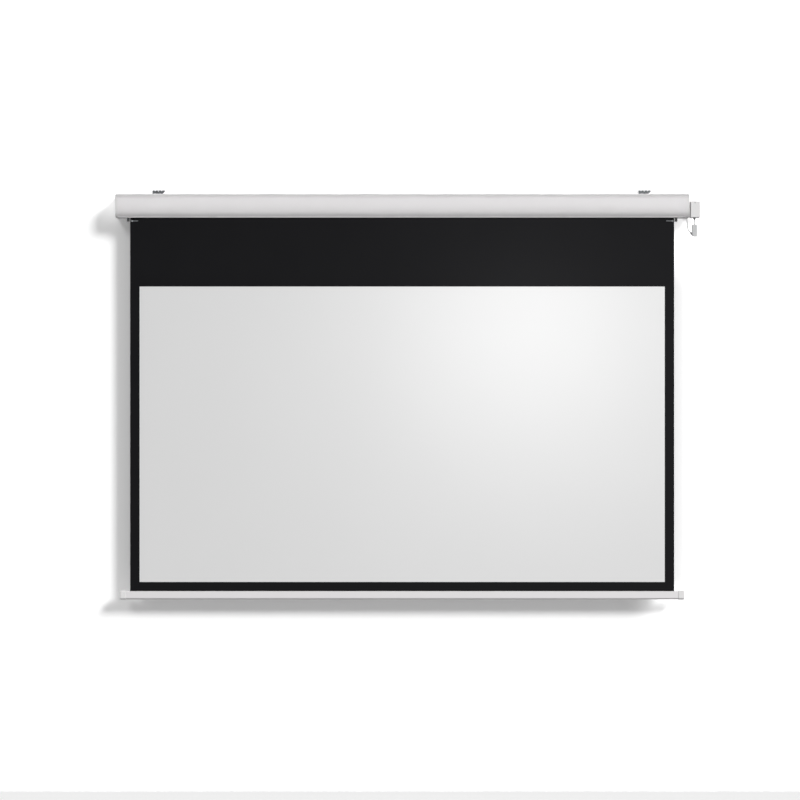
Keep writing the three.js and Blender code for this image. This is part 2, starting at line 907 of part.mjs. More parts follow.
function limitScrew() {
  const low = -headFlatDrop - limitScrewStand;
  const body = turnedZ(rod(limitScrewRadius, low, limitScrewTop));
  const socket = new THREE.CylinderGeometry(
    limitSocketRadius,
    limitSocketRadius,
    2 * limitSocketDepth,
    hexSides,
  );
  return shaped(body, [], [socket.rotateX(Math.PI / 2).translate(0, 0, low)]);
}

function motorTube() {
  return turnedX(ring(motorInner, motorRadius, motorLeft, motorRight), roundSides);
}

function brakeCup() {
  const bore = rotorShaftRadius + clearance;
  const start = brakeEnd - brakeLength;
  return turnedX([
    [motorPartRadius - brakeCupWall, start],
    [motorPartRadius, start],
    [motorPartRadius, brakeEnd],
    [bore, brakeEnd],
    [bore, brakeEnd - brakeCupWall],
    [motorPartRadius - brakeCupWall, brakeEnd - brakeCupWall],
  ]);
}

function gearbox() {
  const body = turnedX(rod(motorPartRadius, gearboxStart, gearboxEnd), roundSides);
  const input = turnedX(
    rod(rotorShaftRadius + clearance, gearboxEnd - shaftSocketDepth, gearboxEnd + overrun),
  );
  const output = turnedX(
    rod(outputShaftRadius + clearance, gearboxStart - overrun, gearboxStart + shaftSocketDepth),
  );
  return shaped(body, [], [input, output]);
}

function rotor() {
  return turnedX([
    [0, gearboxEnd - shaftSocketDepth + clearance],
    [rotorShaftRadius, gearboxEnd - shaftSocketDepth + clearance],
    [rotorShaftRadius, rotorMiddle - rotorLength / 2],
    [rotorRadius, rotorMiddle - rotorLength / 2],
    [rotorRadius, rotorMiddle + rotorLength / 2],
    [rotorShaftRadius, rotorMiddle + rotorLength / 2],
    [rotorShaftRadius, statorEnd + motorPartGap / 2],
    [0, statorEnd + motorPartGap / 2],
  ]);
}

function brakeDisc() {
  const middle = brakeEnd - brakeLength / 2;
  return turnedX(
    ring(
      rotorShaftRadius + clearance,
      brakeDiscRadius,
      middle - brakeDiscThickness / 2,
      middle + brakeDiscThickness / 2,
    ),
  );
}

function outputShaft() {
  return turnedX(rod(outputShaftRadius, shaftStart, gearboxStart + shaftSocketDepth - clearance), hexSides);
}

// A wheel with spokes that carries the motor's turning to the tube.
function driveWheel() {
  const outer = tubeInner - clearance;
  const quarter = Math.PI / 2;
  const bore = arc(0, 0, outputShaftRadius + clearance, quarter, 5 * quarter, hexSides).slice(1);
  const windows = [];
  const pitch = (4 * quarter) / driveSpokes;
  const half = (pitch * (1 - driveSpokeShare)) / 2;
  for (let i = 0; i < driveSpokes; i++) {
    const middle = pitch * (i + 0.5);
    windows.push([
      ...arc(0, 0, outer - driveRimWall, middle - half, middle + half),
      ...arc(0, 0, driveHubRadius, middle + half, middle - half),
    ]);
  }
  const rim = arc(0, 0, outer, 0, 4 * quarter, roundSides).slice(1);
  const start = shaftStart + seam;
  return alongX(outlineOf(rim, bore, ...windows), start, start + driveWheelWidth);
}

function crownRing() {
  const end = rollerHalf - crownRingInset;
  return turnedX(
    ring(motorRadius + clearance, tubeInner - clearance, end - crownRingWidth, end),
    roundSides,
  );
}

// A hanger, in its own frame: the middle of its foot on the roof of the case, at the wall.
function hangerPlate() {
  const height = hangerHeight;
  const notches = [
    [hangerNotchShift + hangerNotchPitch, hangerSideNotch, hangerSideNotchDepth],
    [hangerNotchShift, hangerMidNotch, hangerMidNotchDepth],
    [hangerNotchShift - hangerNotchPitch, hangerSideNotch, hangerSideNotchDepth],
  ];
  const crest = notches.flatMap(([x, width, depth]) => [
    new THREE.Vector2(x + width / 2, height),
    new THREE.Vector2(x + width / 2, height - depth),
    new THREE.Vector2(x - width / 2, height - depth),
    new THREE.Vector2(x - width / 2, height),
  ]);
  const outline = [
    new THREE.Vector2(-hangerFootLeft, 0),
    new THREE.Vector2(hangerFootRight, 0),
    new THREE.Vector2(hangerFootRight, hangerEarRise),
    new THREE.Vector2(hangerRight, height - hangerEarBand),
    new THREE.Vector2(hangerRight, height),
    ...crest,
    new THREE.Vector2(-hangerLeft, height),
  ];
  const flange = alongY(outlineOf(outline), -hangerSteel, 0);
  const foot = box(-hangerFootLeft, -hangerFootReach, 0, hangerFootRight, 0, hangerSteel);
  const holes = [-1, 1].map((side) =>
    turnedZ(rod(hangerBoltRadius + clearance, -overrun, hangerSteel + overrun)).translate(
      hangerBoltMiddle + (side * hangerBoltSpread) / 2,
      -hangerBoltInset,
      0,
    ),
  );
  return shaped(flange, [foot], holes);
}

// A hexagon-head bolt, standing on the foot, whose thread ends in the rib under the roof.
function hangerBolt() {
  const under = hangerSteel + seam;
  const end = -seam - caseWall - boltRibDepth;
  const head = new THREE.CylinderGeometry(
    hangerBoltHeadRadius,
    hangerBoltHeadRadius,
    hangerBoltHeadHeight,
    hexSides,
  );
  head.rotateX(Math.PI / 2).translate(0, 0, under + hangerBoltHeadHeight / 2);
  return shaped(head, [turnedZ(rod(hangerBoltRadius, end, under + overrun))]);
}

function hanger(label, x) {
  const group = groupAt(
    x,
    0,
    top + seam,
    named(`hanger_${label}_plate`, hangerPlate(), zincSteel),
  );
  for (const [place, side] of [
    ["inner", label === "left" ? 1 : -1],
    ["outer", label === "left" ? -1 : 1],
  ]) {
    const bolt = named(`hanger_${label}_bolt_${place}`, hangerBolt(), brightSteel);
    bolt.position.set(hangerBoltMiddle + (side * hangerBoltSpread) / 2, -hangerBoltInset, 0);
    group.add(bolt);
  }
  return group;
}

// The receiver box, on a neck against the right-hand end cap.
const neckStart = caseHalf + seam;
const boxStart = neckStart + neckThickness + seam;
const boxEnd = boxStart + boxWidth;
const coverStart = boxEnd - coverThickness;
const boxFront = -caseDepth + boxSetback;
const boxBack = boxFront + boxDepth;
const boxBottom = bottom + boxRise;
const boxTop = boxBottom + boxHeight;
const boxMiddleY = (boxFront + boxBack) / 2;
const boxMiddleZ = (boxBottom + boxTop) / 2;
const receiverLeadX = (boxStart + boxEnd) / 2 - leadOffset;
const receiverLeadY = boxFront + leadInset;
const mainsEntryY = receiverLeadY + mainsEntrySetback;
const windowZ = boxTop - windowDrop;

function receiverNeck() {
  const depth = boxDepth - 2 * neckSetback;
  const outline = roundedRectangle(boxMiddleY, boxMiddleZ, depth, boxHeight - 2 * boxWall, boxCornerRadius);
  return alongX(outlineOf(outline), neckStart, neckStart + neckThickness);
}

function receiverBase() {
  const outline = roundedRectangle(boxMiddleY, boxMiddleZ, boxDepth, boxHeight, boxCornerRadius);
  const block = alongX(outlineOf(outline), boxStart, coverStart);
  const pocketOutline = offset(outline, boxWall, true);
  const pocket = alongX(outlineOf(pocketOutline), boxStart + boxWall, coverStart + overrun);
  const post = turnedX(rod(coverPostRadius, boxStart + boxWall / 2, coverStart));
  const postHole = turnedX(
    rod(coverScrewRadius / 2 + clearance, coverStart - coverScrewLength, coverStart + overrun),
  );
  const leadHole = turnedZ(
    rod(glandSleeveRadius + clearance, boxBottom - overrun, boxBottom + boxWall + overrun),
  ).translate(receiverLeadX, receiverLeadY, 0);
  const mainsHole = turnedZ(
    rod(mainsEntryStem + clearance, boxBottom - overrun, boxBottom + boxWall + overrun),
  ).translate(receiverLeadX, mainsEntryY, 0);
  const windowHole = turned(
    rod(windowRadius + clearance, boxFront - overrun, boxFront + boxWall + overrun),
  ).translate(receiverLeadX, 0, windowZ);
  let body = solid(block).subtract(solid(pocket));
  body = body.add(solid(post.translate(0, boxMiddleY, boxMiddleZ)));
  for (const hole of [postHole.translate(0, boxMiddleY, boxMiddleZ), leadHole, mainsHole, windowHole]) {
    body = body.subtract(solid(hole));
  }
  const geometry = geometryOf(body);
  geometry.computeVertexNormals();
  return geometry;
}

// The cover: a plate with a soft edge, and a rim inside the walls that locates it.
function receiverCover() {
  const outline = roundedRectangle(boxMiddleY, boxMiddleZ, boxDepth, boxHeight, boxCornerRadius);
  const rounding = {
    bevelEnabled: true,
    bevelThickness: coverEdge,
    bevelSize: coverEdge,
    bevelOffset: -coverEdge,
    bevelSegments: arcSteps / 2,
  };
  const start = coverStart + seam;
  const block = alongX(outlineOf(outline), start, boxEnd - coverEdge, rounding);
  const reach = 2 * boxHeight;
  const spare = box(start - 2 * coverEdge, -reach, -reach, start, reach, reach);
  const [rimOutside, rimInside] = [0, coverRim].map((inset) => {
    const play = 2 * (boxWall + clearance + inset);
    return roundedRectangle(boxMiddleY, boxMiddleZ, boxDepth - play, boxHeight - play, coverRim);
  });
  const rim = alongX(outlineOf(rimOutside, rimInside), start - 2 * coverRim, start + coverEdge);
  const screwHole = turnedX(rod(coverScrewRadius / 2 + clearance, start - overrun, boxEnd + overrun));
  const headSeat = turnedX(rod(coverScrewRadius + clearance, boxEnd - boxWall, boxEnd + overrun));
  let plate = solid(block).subtract(solid(spare)).add(solid(rim));
  plate = plate.subtract(solid(screwHole.translate(0, boxMiddleY, boxMiddleZ)));
  plate = plate.subtract(solid(headSeat.translate(0, boxMiddleY, boxMiddleZ)));
  const geometry = geometryOf(plate);
  geometry.computeVertexNormals();
  return geometry;
}

function receiverCoverScrew() {
  const under = boxEnd - boxWall + seam;
  return turnedX([
    [0, coverStart - coverScrewLength + clearance],
    [coverScrewRadius / 2, coverStart - coverScrewLength + clearance],
    [coverScrewRadius / 2, under],
    [coverScrewRadius, under],
    [coverScrewRadius, under + boxWall / 2],
    [0, under + boxWall / 2],
  ]);
}

// The receiver's board, with its relay and terminal block, round the post that takes the cover's screw.
function receiverBoard() {
  const x = boxStart + boardInset;
  const front = boxFront + boardMargin;
  const back = boxBack - boardMargin;
  const low = boxBottom + boardMargin;
  const high = boxTop - boardMargin;
  const board = box(x, front, low, x + boardThickness, back, high);
  const face = x + boardThickness / 2;
  const relay = box(
    face,
    back - boardMargin - relayWidth,
    high - boardMargin - relayLength,
    face + relayHeight,
    back - boardMargin,
    high - boardMargin,
  );
  const terminal = box(
    face,
    front + boardMargin,
    low + boardMargin / 2,
    face + terminalHeight,
    back - boardMargin,
    low + boardMargin / 2 + terminalWidth,
  );
  const postHole = turnedX(rod(coverPostRadius + clearance, x - overrun, x + 2 * boardThickness));
  return shaped(board, [relay, terminal], [postHole.translate(0, boxMiddleY, boxMiddleZ)]);
}

function receiverWindow() {
  return turned(rod(windowRadius, boxFront - windowStand, boxFront - windowStand + windowLength));
}

// A tapered gland in a hole of the box's floor, round the receiver's lead.
function leadGland() {
  const seat = boxBottom - seam;
  return turnedZ([
    [leadHoleRadius, seat - glandDrop],
    [glandTipRadius, seat - glandDrop],
    [glandRadius, seat - glandDrop / 4],
    [glandRadius, seat],
    [glandSleeveRadius, seat],
    [glandSleeveRadius, seat + glandSink],
    [leadHoleRadius, seat + glandSink],
  ]);
}

// The mains entry behind it, with a plain closed plug.
function mainsEntryPlug() {
  const seat = boxBottom - seam;
  return turnedZ([
    [0, seat - mainsEntryDrop],
    [mainsEntryStem, seat - mainsEntryDrop],
    [mainsEntryRadius, seat - mainsEntryDrop / 2],
    [mainsEntryRadius, seat],
    [mainsEntryStem, seat],
    [mainsEntryStem, seat + glandSink],
    [0, seat + glandSink],
  ]);
}

// Where the motor lead leaves the right-hand cap.
const leadX = profileHalf + seam + grommetOffset;
const leadY = -grommetInset;

function leadGrommet() {
  const low = bottom - seam;
  const high = bottom + capSkirt + seam;
  return turnedZ([
    [leadHoleRadius, low - grommetFlange],
    [grommetFlangeRadius, low - grommetFlange],
    [grommetFlangeRadius, low],
    [grommetRadius, low],
    [grommetRadius, high],
    [leadHoleRadius, high],
  ]);
}

// A round cord along a hand-laid route.
function cordAlong(route, steps) {
  const curve = new THREE.CatmullRomCurve3(route.map(([x, y, z]) => new THREE.Vector3(x, y, z)));
  const section = outlineOf(arc(0, 0, leadRadius, 0, 2 * Math.PI, leadSides).slice(1));
  return new THREE.ExtrudeGeometry(section, { steps, bevelEnabled: false, extrudePath: curve });
}

// The routes start at the middle of a hole: the grommet's for the two below, and the gland's for the third.
const innerCableRoute = [
  [-25.3, 14, 53.5],
  [-23.4, 14, 53.5],
  [-17.8, 14, 52.8],
  [-12.3, 13.9, 50.6],
  [-7.5, 13.6, 47.1],
  [-3.9, 12.8, 42.5],
  [-1.6, 11.3, 37.2],
  [-0.6, 9.2, 31.5],
  [-0.3, 6.7, 26],
  [-0.1, 4.2, 20.5],
  [0, 2.1, 15],
  [0, 0.8, 10.5],
  [0, 0.2, 7],
  [0, 0, 4.3],
];

const motorLeadRoute = [
  [0, 0, 3.9],
  [0, 0, -1],
  [0.3, -0.1, -6],
  [0.8, -0.3, -11],
  [1.3, -0.8, -16],
  [1.6, -1.4, -21],
  [1.9, -2, -26],
  [2.2, -2.6, -31],
  [2.7, -3.1, -36],
  [3.7, -3.5, -41],
  [5.3, -3.8, -45.6],
  [7.6, -3.95, -49.6],
  [10.3, -4, -52.9],
  [13.2, -4, -55.7],
  [16.3, -4, -58.2],
];

const receiverLeadRoute = [
  [0, 0, 5],
  [0, 0, 2.5],
  [0, 0, 0],
  [0, 0, -2.5],
  [0, 0, -5],
  [0, -0.1, -7.5],
  [0, -0.3, -10],
  [0, -0.7, -12.5],
  [0, -1.3, -15],
  [0, -1.9, -17.5],
  [0, -2.5, -20],
  [0, -2.8, -22.5],
  [0, -3, -25],
  [0, -3, -28],
  [0, -3, -31],
];

// The in-line connector: the socket hangs on the receiver's lead, and the plug below it takes the motor's.
const plugX = receiverLeadX;
const plugY = receiverLeadY - plugForward;
const socketTop = boxBottom - plugDrop;
const socketBottom = socketTop - socketHeight;
const plugTop = socketBottom - seam;
const plugBottom = plugTop - plugHeight;
const plugLeft = plugX - plugWidth / 2;

function leadSocket() {
  const outline = roundedRectangle(plugX, plugY, plugWidth, plugDepth, plugCornerRadius);
  const body = alongZ(outlineOf(outline), socketBottom, socketTop);
  const collar = turnedZ(rod(collarRadius, socketTop - overrun, socketTop + collarHeight));
  const bore = turnedZ(
    rod(leadHoleRadius, socketTop - leadSocketDepth, socketTop + 2 * collarHeight),
  );
  return shaped(
    body,
    [collar.translate(plugX, plugY, 0)],
    [bore.translate(plugX, plugY, 0)],
  );
}

// The plug, with its lower left corner cut off and a boot that leads the cord in at a slant.
function leadPlug() {
  const outline = roundedRectangle(plugX, plugY, plugWidth, plugDepth, plugCornerRadius);
  const body = alongZ(outlineOf(outline), plugBottom, plugTop);
  const chamfer = alongY(
    outlineOf([
      new THREE.Vector2(plugLeft - plugChamferWidth, plugBottom - plugChamferHeight),
      new THREE.Vector2(plugLeft + 2 * plugChamferWidth, plugBottom - plugChamferHeight),
      new THREE.Vector2(plugLeft - plugChamferWidth, plugBottom + 2 * plugChamferHeight),
    ]),
    plugY - plugDepth,
    plugY + plugDepth,
  );
  const place = (geometry) =>
    geometry
      .rotateY(-Math.PI / 2 + bootAngle)
      .translate(plugLeft + bootInset, plugY, plugBottom + bootRise);
  const boot = turnedZ([
    [0, 0],
    [bootRadius, 0],
    [bootTipRadius, bootLength],
    [0, bootLength],
  ]);
  const bore = turnedZ(rod(leadHoleRadius, bootLength - leadSocketDepth, 2 * bootLength));
  let plug = solid(body).subtract(solid(chamfer)).add(solid(place(boot)));
  plug = plug.subtract(solid(place(bore)));
  const geometry = geometryOf(plug);
  geometry.computeVertexNormals();
  return geometry;
}

// The whole screen
const model = new THREE.Group();
model.add(named("case_profile", caseProfile(), whitePaint));
model.add(named("front_panel", frontPanel(), whitePaint));
model.add(named("slot_lip", slotLip(), whitePaint));
for (const [label, side] of [
  ["left", -1],
  ["right", 1],
]) {
  model.add(
    named(`end_cap_${label}`, endCap(side), whitePlastic),
    named(`roller_bracket_${label}`, rollerBracket(side), blackPlastic),
  );
  for (const [i, place] of ["upper", "lower"].entries()) {
    const screw = named(`end_cap_screw_${label}_${place}`, endCapScrew(side), brightSteel);
    screw.position.set(0, screwPorts[i][0], screwPorts[i][1]);
    model.add(screw);
  }
  const screw = named(`roller_bracket_screw_${label}`, bracketScrew(), brightSteel);
  screw.position.set(side * bracketScrewX, bracketScrewY, 0);
  const pin = named(`guide_pin_${label}`, guidePin(side), brightSteel);
  pin.position.set(0, guidePinY, guidePinZ);
  model.add(screw, pin, hanger(label, side * (caseHalf - hangerInset)));
}

const limitScrews = ["upper", "lower"].map((place, i) => {
  const screw = named(`limit_screw_${place}`, limitScrew(), brightSteel);
  screw.position.set(limitScrewX, (2 * i - 1) * limitScrewSpread, 0);
  return screw;
});
model.add(
  groupAt(
    0,
    -rollerInset,
    0,
    named("roller_tube", rollerTube(), aluminium),
    named("cloth_winding", clothWinding(), blackCloth),
    named("idler_plug", idlerPlug(), blackPlastic),
    named("idler_bush", idlerBush(), whitePlastic),
    named("idler_pin", idlerPin(), brightSteel),
    named("drive_wheel", driveWheel(), blackPlastic),
    named("crown_ring", crownRing(), blackPlastic),
    named("output_shaft", outputShaft(), brightSteel),
    named("motor_head", motorHead(), greyPlastic),
    named("motor_tube", motorTube(), whitePaint),
    named(
      "limit_switch",
      turnedX(rod(motorPartRadius, limitSwitchEnd - limitSwitchLength, limitSwitchEnd), roundSides),
      greyPlastic,
    ),
    named(
      "motor_capacitor",
      turnedX(rod(motorPartRadius, capacitorEnd - capacitorLength, capacitorEnd), roundSides),
      blackPlastic,
    ),
    named(
      "motor_stator",
      turnedX(ring(statorBore, motorPartRadius, statorEnd - statorLength, statorEnd), roundSides),
      copperWinding,
    ),
    named("motor_rotor", rotor(), brightSteel),
    named("brake_cup", brakeCup(), zincSteel),
    named("brake_disc", brakeDisc(), blackPlastic),
    named("gearbox", gearbox(), zincSteel),
    ...limitScrews,
  ),
);

model.add(
  named("cloth_backing", hangingBacking(), blackCloth),
  named("viewing_surface", viewingFacing(), whiteFacing),
  named("bottom_bar", bottomBar(), whitePaint),
  named("bottom_bar_cap_left", barCap(-1), whitePlastic),
  named("bottom_bar_cap_right", barCap(1), whitePlastic),
);
const keder = named(
  "cloth_welt",
  turnedX(rod(kederRadius, -clothWidth / 2, clothWidth / 2)),
  blackPlastic,
);
keder.position.set(0, barY, kederZ);
model.add(keder);

const gland = named("receiver_lead_gland", leadGland(), blackPlastic);
gland.position.set(receiverLeadX, receiverLeadY, 0);
const mains = named("mains_entry_plug", mainsEntryPlug(), whitePlastic);
mains.position.set(receiverLeadX, mainsEntryY, 0);
const eye = named("receiver_window", receiverWindow(), blackPlastic);
eye.position.set(receiverLeadX, 0, windowZ);
const coverScrew = named("receiver_cover_screw", receiverCoverScrew(), brightSteel);
coverScrew.position.set(0, boxMiddleY, boxMiddleZ);
model.add(
  named("receiver_neck", receiverNeck(), whitePlastic),
  named("receiver_box", receiverBase(), whitePlastic),
  named("receiver_cover", receiverCover(), whitePlastic),
  named("receiver_board", receiverBoard(), boardGreen),
  coverScrew,
  gland,
  mains,
  eye,
);

const grommet = named("motor_lead_grommet", leadGrommet(), blackPlastic);
grommet.position.set(leadX, leadY, 0);
model.add(
  grommet,
  groupAt(
    leadX,
    leadY,
    bottom,
    named("motor_cable_inside", cordAlong(innerCableRoute, cordSteps), leadPlastic),
    named("motor_lead", cordAlong(motorLeadRoute, cordSteps), leadPlastic),
  ),
  groupAt(
    receiverLeadX,
    receiverLeadY,
    boxBottom,
    named("receiver_lead", cordAlong(receiverLeadRoute, cordSteps), leadPlastic),
  ),
  named("lead_socket", leadSocket(), greyPlastic),
  named("lead_plug", leadPlug(), greyPlastic),
);

export default model;
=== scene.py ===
# %% [markdown]
# # A motorized projection screen, dressed in Blender
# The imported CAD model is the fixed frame. Its solids say where everything is, and nothing here
# moves them. What Blender adds is what the eye reads: softly broken edges, powder coat, moulded
# plastic, coated cloth, the leads, and light that falls as it does in a studio.

# %% Load the frame
import json
import math

import bmesh
import bpy
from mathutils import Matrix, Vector


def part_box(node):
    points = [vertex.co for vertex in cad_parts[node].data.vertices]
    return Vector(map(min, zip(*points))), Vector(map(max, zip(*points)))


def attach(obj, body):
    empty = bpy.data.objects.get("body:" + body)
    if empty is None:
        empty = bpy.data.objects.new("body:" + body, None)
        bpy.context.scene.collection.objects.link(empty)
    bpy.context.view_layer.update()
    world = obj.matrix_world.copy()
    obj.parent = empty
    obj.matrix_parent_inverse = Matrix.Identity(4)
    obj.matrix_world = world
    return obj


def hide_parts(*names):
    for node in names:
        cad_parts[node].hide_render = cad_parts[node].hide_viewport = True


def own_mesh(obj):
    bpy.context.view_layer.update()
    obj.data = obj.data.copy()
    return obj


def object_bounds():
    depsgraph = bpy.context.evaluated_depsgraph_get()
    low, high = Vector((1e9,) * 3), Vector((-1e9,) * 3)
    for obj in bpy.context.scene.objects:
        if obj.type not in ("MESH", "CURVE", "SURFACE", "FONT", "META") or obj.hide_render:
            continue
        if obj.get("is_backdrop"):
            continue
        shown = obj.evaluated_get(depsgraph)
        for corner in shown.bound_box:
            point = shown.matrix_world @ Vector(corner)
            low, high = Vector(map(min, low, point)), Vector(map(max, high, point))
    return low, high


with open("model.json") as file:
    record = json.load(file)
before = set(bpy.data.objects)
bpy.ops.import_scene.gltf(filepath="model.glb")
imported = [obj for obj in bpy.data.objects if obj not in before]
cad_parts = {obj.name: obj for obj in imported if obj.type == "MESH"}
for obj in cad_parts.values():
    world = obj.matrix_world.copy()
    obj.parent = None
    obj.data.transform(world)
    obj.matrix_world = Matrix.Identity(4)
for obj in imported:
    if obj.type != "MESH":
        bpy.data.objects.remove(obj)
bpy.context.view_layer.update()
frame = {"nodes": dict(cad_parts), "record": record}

MM = 0.001

# %% [markdown]
# ## Camera
# The picture is taken straight on with a long lens from far away, so lines that are parallel on the
# screen stay parallel. A long lens and a long distance give that without turning perspective off.
# The camera looks along +Y at a point about half-way down the cloth. The lens follows from the
# width that the picture covers there.

# %% Place the camera
def put(name, data):
    """A new object with this data, in the scene's collection."""
    thing = bpy.data.objects.new(name, data)
    bpy.context.scene.collection.objects.link(thing)
    return thing


camera_distance = 12.0
camera_x, camera_z = -0.0082, -0.7395
cloth_plane = -0.0655
picture_width = 3.0466
sensor_width = 36
camera = put("camera", bpy.data.cameras.new("camera"))
camera.location = (camera_x, -camera_distance, camera_z)
camera.rotation_euler = (math.pi / 2, 0, 0)
camera.data.sensor_width = sensor_width
camera.data.lens = sensor_width * (camera_distance + cloth_plane) / picture_width
bpy.context.scene.camera = camera
print("lens", round(camera.data.lens, 2), "mm")

# %% [markdown]
# ## The two leads
# A thin round lead comes out of the right-hand end cap, and another out of the gland under the
# receiver box. They meet at a two-part connector that hangs in the air just below the case. Each
# lead is a curve along the same points as in the CAD source, in metres, so that it has
# a true centreline and a true length.

# %% Run the leads
def through_points(origin, route, per_gap=4):
    """A smooth line through the route's points, which are millimetres away from the origin."""
    points = [Vector(origin) * MM + Vector(p) * MM for p in route]
    line = []
    for i in range(len(points) - 1):
        before, a = points[max(i - 1, 0)], points[i]
        b, after = points[i + 1], points[min(i + 2, len(points) - 1)]
        for step in range(per_gap):
            t = step / per_gap
            line.append(0.5 * (2 * a + (b - before) * t
                               + (2 * before - 5 * a + 4 * b - after) * t * t
                               + (3 * a - before - 3 * b + after) * t ** 3))
    return line + [points[-1]]


def lead(name, origin, route, diameter):
    """A round lead along the route: returns the curve's object, its first point and its length."""
    line = through_points(origin, route)
    curve = bpy.data.curves.new(name, "CURVE")
    curve.dimensions = "3D"
    curve.bevel_depth = diameter / 2
    curve.bevel_resolution = 5
    curve.use_fill_caps = True
    spline = curve.splines.new("POLY")
    spline.points.add(len(line) - 1)
    for point, place in zip(spline.points, line):
        point.co = (*place, 1)
    length = sum((b - a).length for a, b in zip(line, line[1:]))
    print(name, "is", round(length / MM, 1), "mm long")
    return put(name, curve), line[0], length


lead_diameter = 4 * MM
motor_route = [
    (0, 0, 3.9), (0, 0, -1), (0.3, -0.1, -6), (0.8, -0.3, -11), (1.3, -0.8, -16), (1.6, -1.4, -21),
    (1.9, -2, -26), (2.2, -2.6, -31), (2.7, -3.1, -36), (3.7, -3.5, -41), (5.3, -3.8, -45.6),
    (7.6, -3.95, -49.6), (10.3, -4, -52.9), (13.2, -4, -55.7), (16.3, -4, -58.2),
]
receiver_route = [
    (0, 0, 5), (0, 0, 2.5), (0, 0, 0), (0, 0, -2.5), (0, 0, -5), (0, -0.1, -7.5), (0, -0.3, -10),
    (0, -0.7, -12.5), (0, -1.3, -15), (0, -1.9, -17.5), (0, -2.5, -20), (0, -2.8, -22.5),
    (0, -3, -25), (0, -3, -28), (0, -3, -31),
]
motor_lead, motor_exit, motor_length = lead(
    "motor_lead_cable", (1085.5, -52, -45.5), motor_route, lead_diameter)
receiver_lead, receiver_exit, receiver_length = lead(
    "receiver_lead_cable", (1114.3, -53, -44.7), receiver_route, lead_diameter)

# %% [markdown]
# ## Helpers for every finish
# Colours are written as sRGB hex codes, as on a colour card, and Blender mixes light in linear
# values, so one function turns the first into the second. Another adds a node with its settings,
# and links an input when it is given another node's output. Patterns are sized in millimetres, on
# coordinates that are in metres.

# %% Colour and node helpers
finishes = {}


def linear(code):
    """A hex code as linear red, green, blue and alpha, by the formula of the sRGB standard."""
    values = [int(code[i : i + 2], 16) / 255 for i in (1, 3, 5)]
    return (*(v / 12.92 if v <= 0.04045 else ((v + 0.055) / 1.055) ** 2.4 for v in values), 1.0)


def per_metre(size_mm):
    """The scale of a pattern whose features are this wide."""
    return 1000 / size_mm


def bands(size_mm):
    """The scale of a wave texture whose bands are this far apart: scale 1 has 20 in 2 pi."""
    return per_metre(size_mm) * 2 * math.pi / 20


def add(tree, kind, inputs=None, **settings):
    """A new node: a value goes on the input it names, and another node's output is linked to it."""
    node = tree.nodes.new(kind)
    for name, value in settings.items():
        setattr(node, name, value)
    for key, value in (inputs or {}).items():
        if isinstance(value, bpy.types.NodeSocket):
            tree.links.new(value, node.inputs[key])
        else:
            node.inputs[key].default_value = value
    return node


def noise(tree, place, size_mm, detail, roughness=0.5):
    """Noise with features of about this width: the output that runs from 0 to 1."""
    return add(tree, "ShaderNodeTexNoise", {
        "Vector": place, "Scale": per_metre(size_mm), "Detail": detail,
        "Roughness": roughness}).outputs["Fac"]


def start_finish(name, metallic=0.0, ior=1.5, coordinates="Object"):
    """A new material with a Principled shader: returns its tree, the shader and coordinates."""
    material = bpy.data.materials.new(name)
    material.use_nodes = True
    tree = material.node_tree
    tree.nodes.clear()
    shader = add(tree, "ShaderNodeBsdfPrincipled", {"Metallic": metallic, "IOR": ior})
    add(tree, "ShaderNodeOutputMaterial", {"Surface": shader.outputs["BSDF"]})
    finishes[name] = material
    return tree, shader, add(tree, "ShaderNodeTexCoord").outputs[coordinates]


def end_finish(tree, shader, factor, dark, light, rough_from, rough_to, height=None, relief_mm=0.0):
    """Links what most finishes share: a tone between two colours, a roughness range, a relief."""
    # A Mix node has its colours at inputs 6 and 7, and its colour result at output 2.
    tone = add(tree, "ShaderNodeMix", {0: factor, 6: linear(dark), 7: linear(light)},
               data_type="RGBA")
    rough = add(tree, "ShaderNodeMapRange", {"Value": factor, "To Min": rough_from,
                                             "To Max": rough_to})
    bump = add(tree, "ShaderNodeBump", {"Height": factor if height is None else height,
                                        "Distance": relief_mm * MM, "Strength": 1.0})
    tree.links.new(tone.outputs[2], shader.inputs["Base Color"])
    tree.links.new(rough.outputs["Result"], shader.inputs["Roughness"])
    tree.links.new(bump.outputs["Normal"], shader.inputs["Normal"])


# %% [markdown]
# ## Powder-coated aluminium: case, front panel, slot lip and bottom bar
# The long white parts are aluminium extrusions with a polyester powder coat. The powder melts into
# a skin with a very fine orange-peel waviness and a satin shine. The eye gets a soft, even white
# with a broad highlight along the shoulder, and a faint change of tone over a hand's width, never a
# mirror.

# %% Powder coat
tree, shader, place = start_finish("polyester_powder_coat")
shader.inputs["Specular IOR Level"].default_value = 0.3
drift = noise(tree, place, size_mm=260, detail=3.0)
peel = noise(tree, place, size_mm=1.6, detail=2.0, roughness=0.4)
end_finish(tree, shader, drift, "#D9D7D8", "#DEDCDD", 0.42, 0.52, peel, relief_mm=0.02)

# %% [markdown]
# ## Moulded ABS: end caps, bar caps, receiver box and its cover
# These are injection-moulded in white ABS, in a steel mould that was spark-eroded to a fine matt
# grain. Next to the powder coat the plastic is a trace greyer and more matt, and its grain is a
# pebble pattern of about a third of a millimetre. Voronoi cells give that pebble.

# %% White ABS
tree, shader, place = start_finish("moulded_white_abs")
drift = noise(tree, place, size_mm=60, detail=3.0)
pebble = add(tree, "ShaderNodeTexVoronoi", {"Vector": place, "Scale": per_metre(0.35),
                                            "Randomness": 1.0})
end_finish(tree, shader, drift, "#D6D5D5", "#DCDBDB", 0.48, 0.58,
           pebble.outputs["Distance"], relief_mm=0.03)

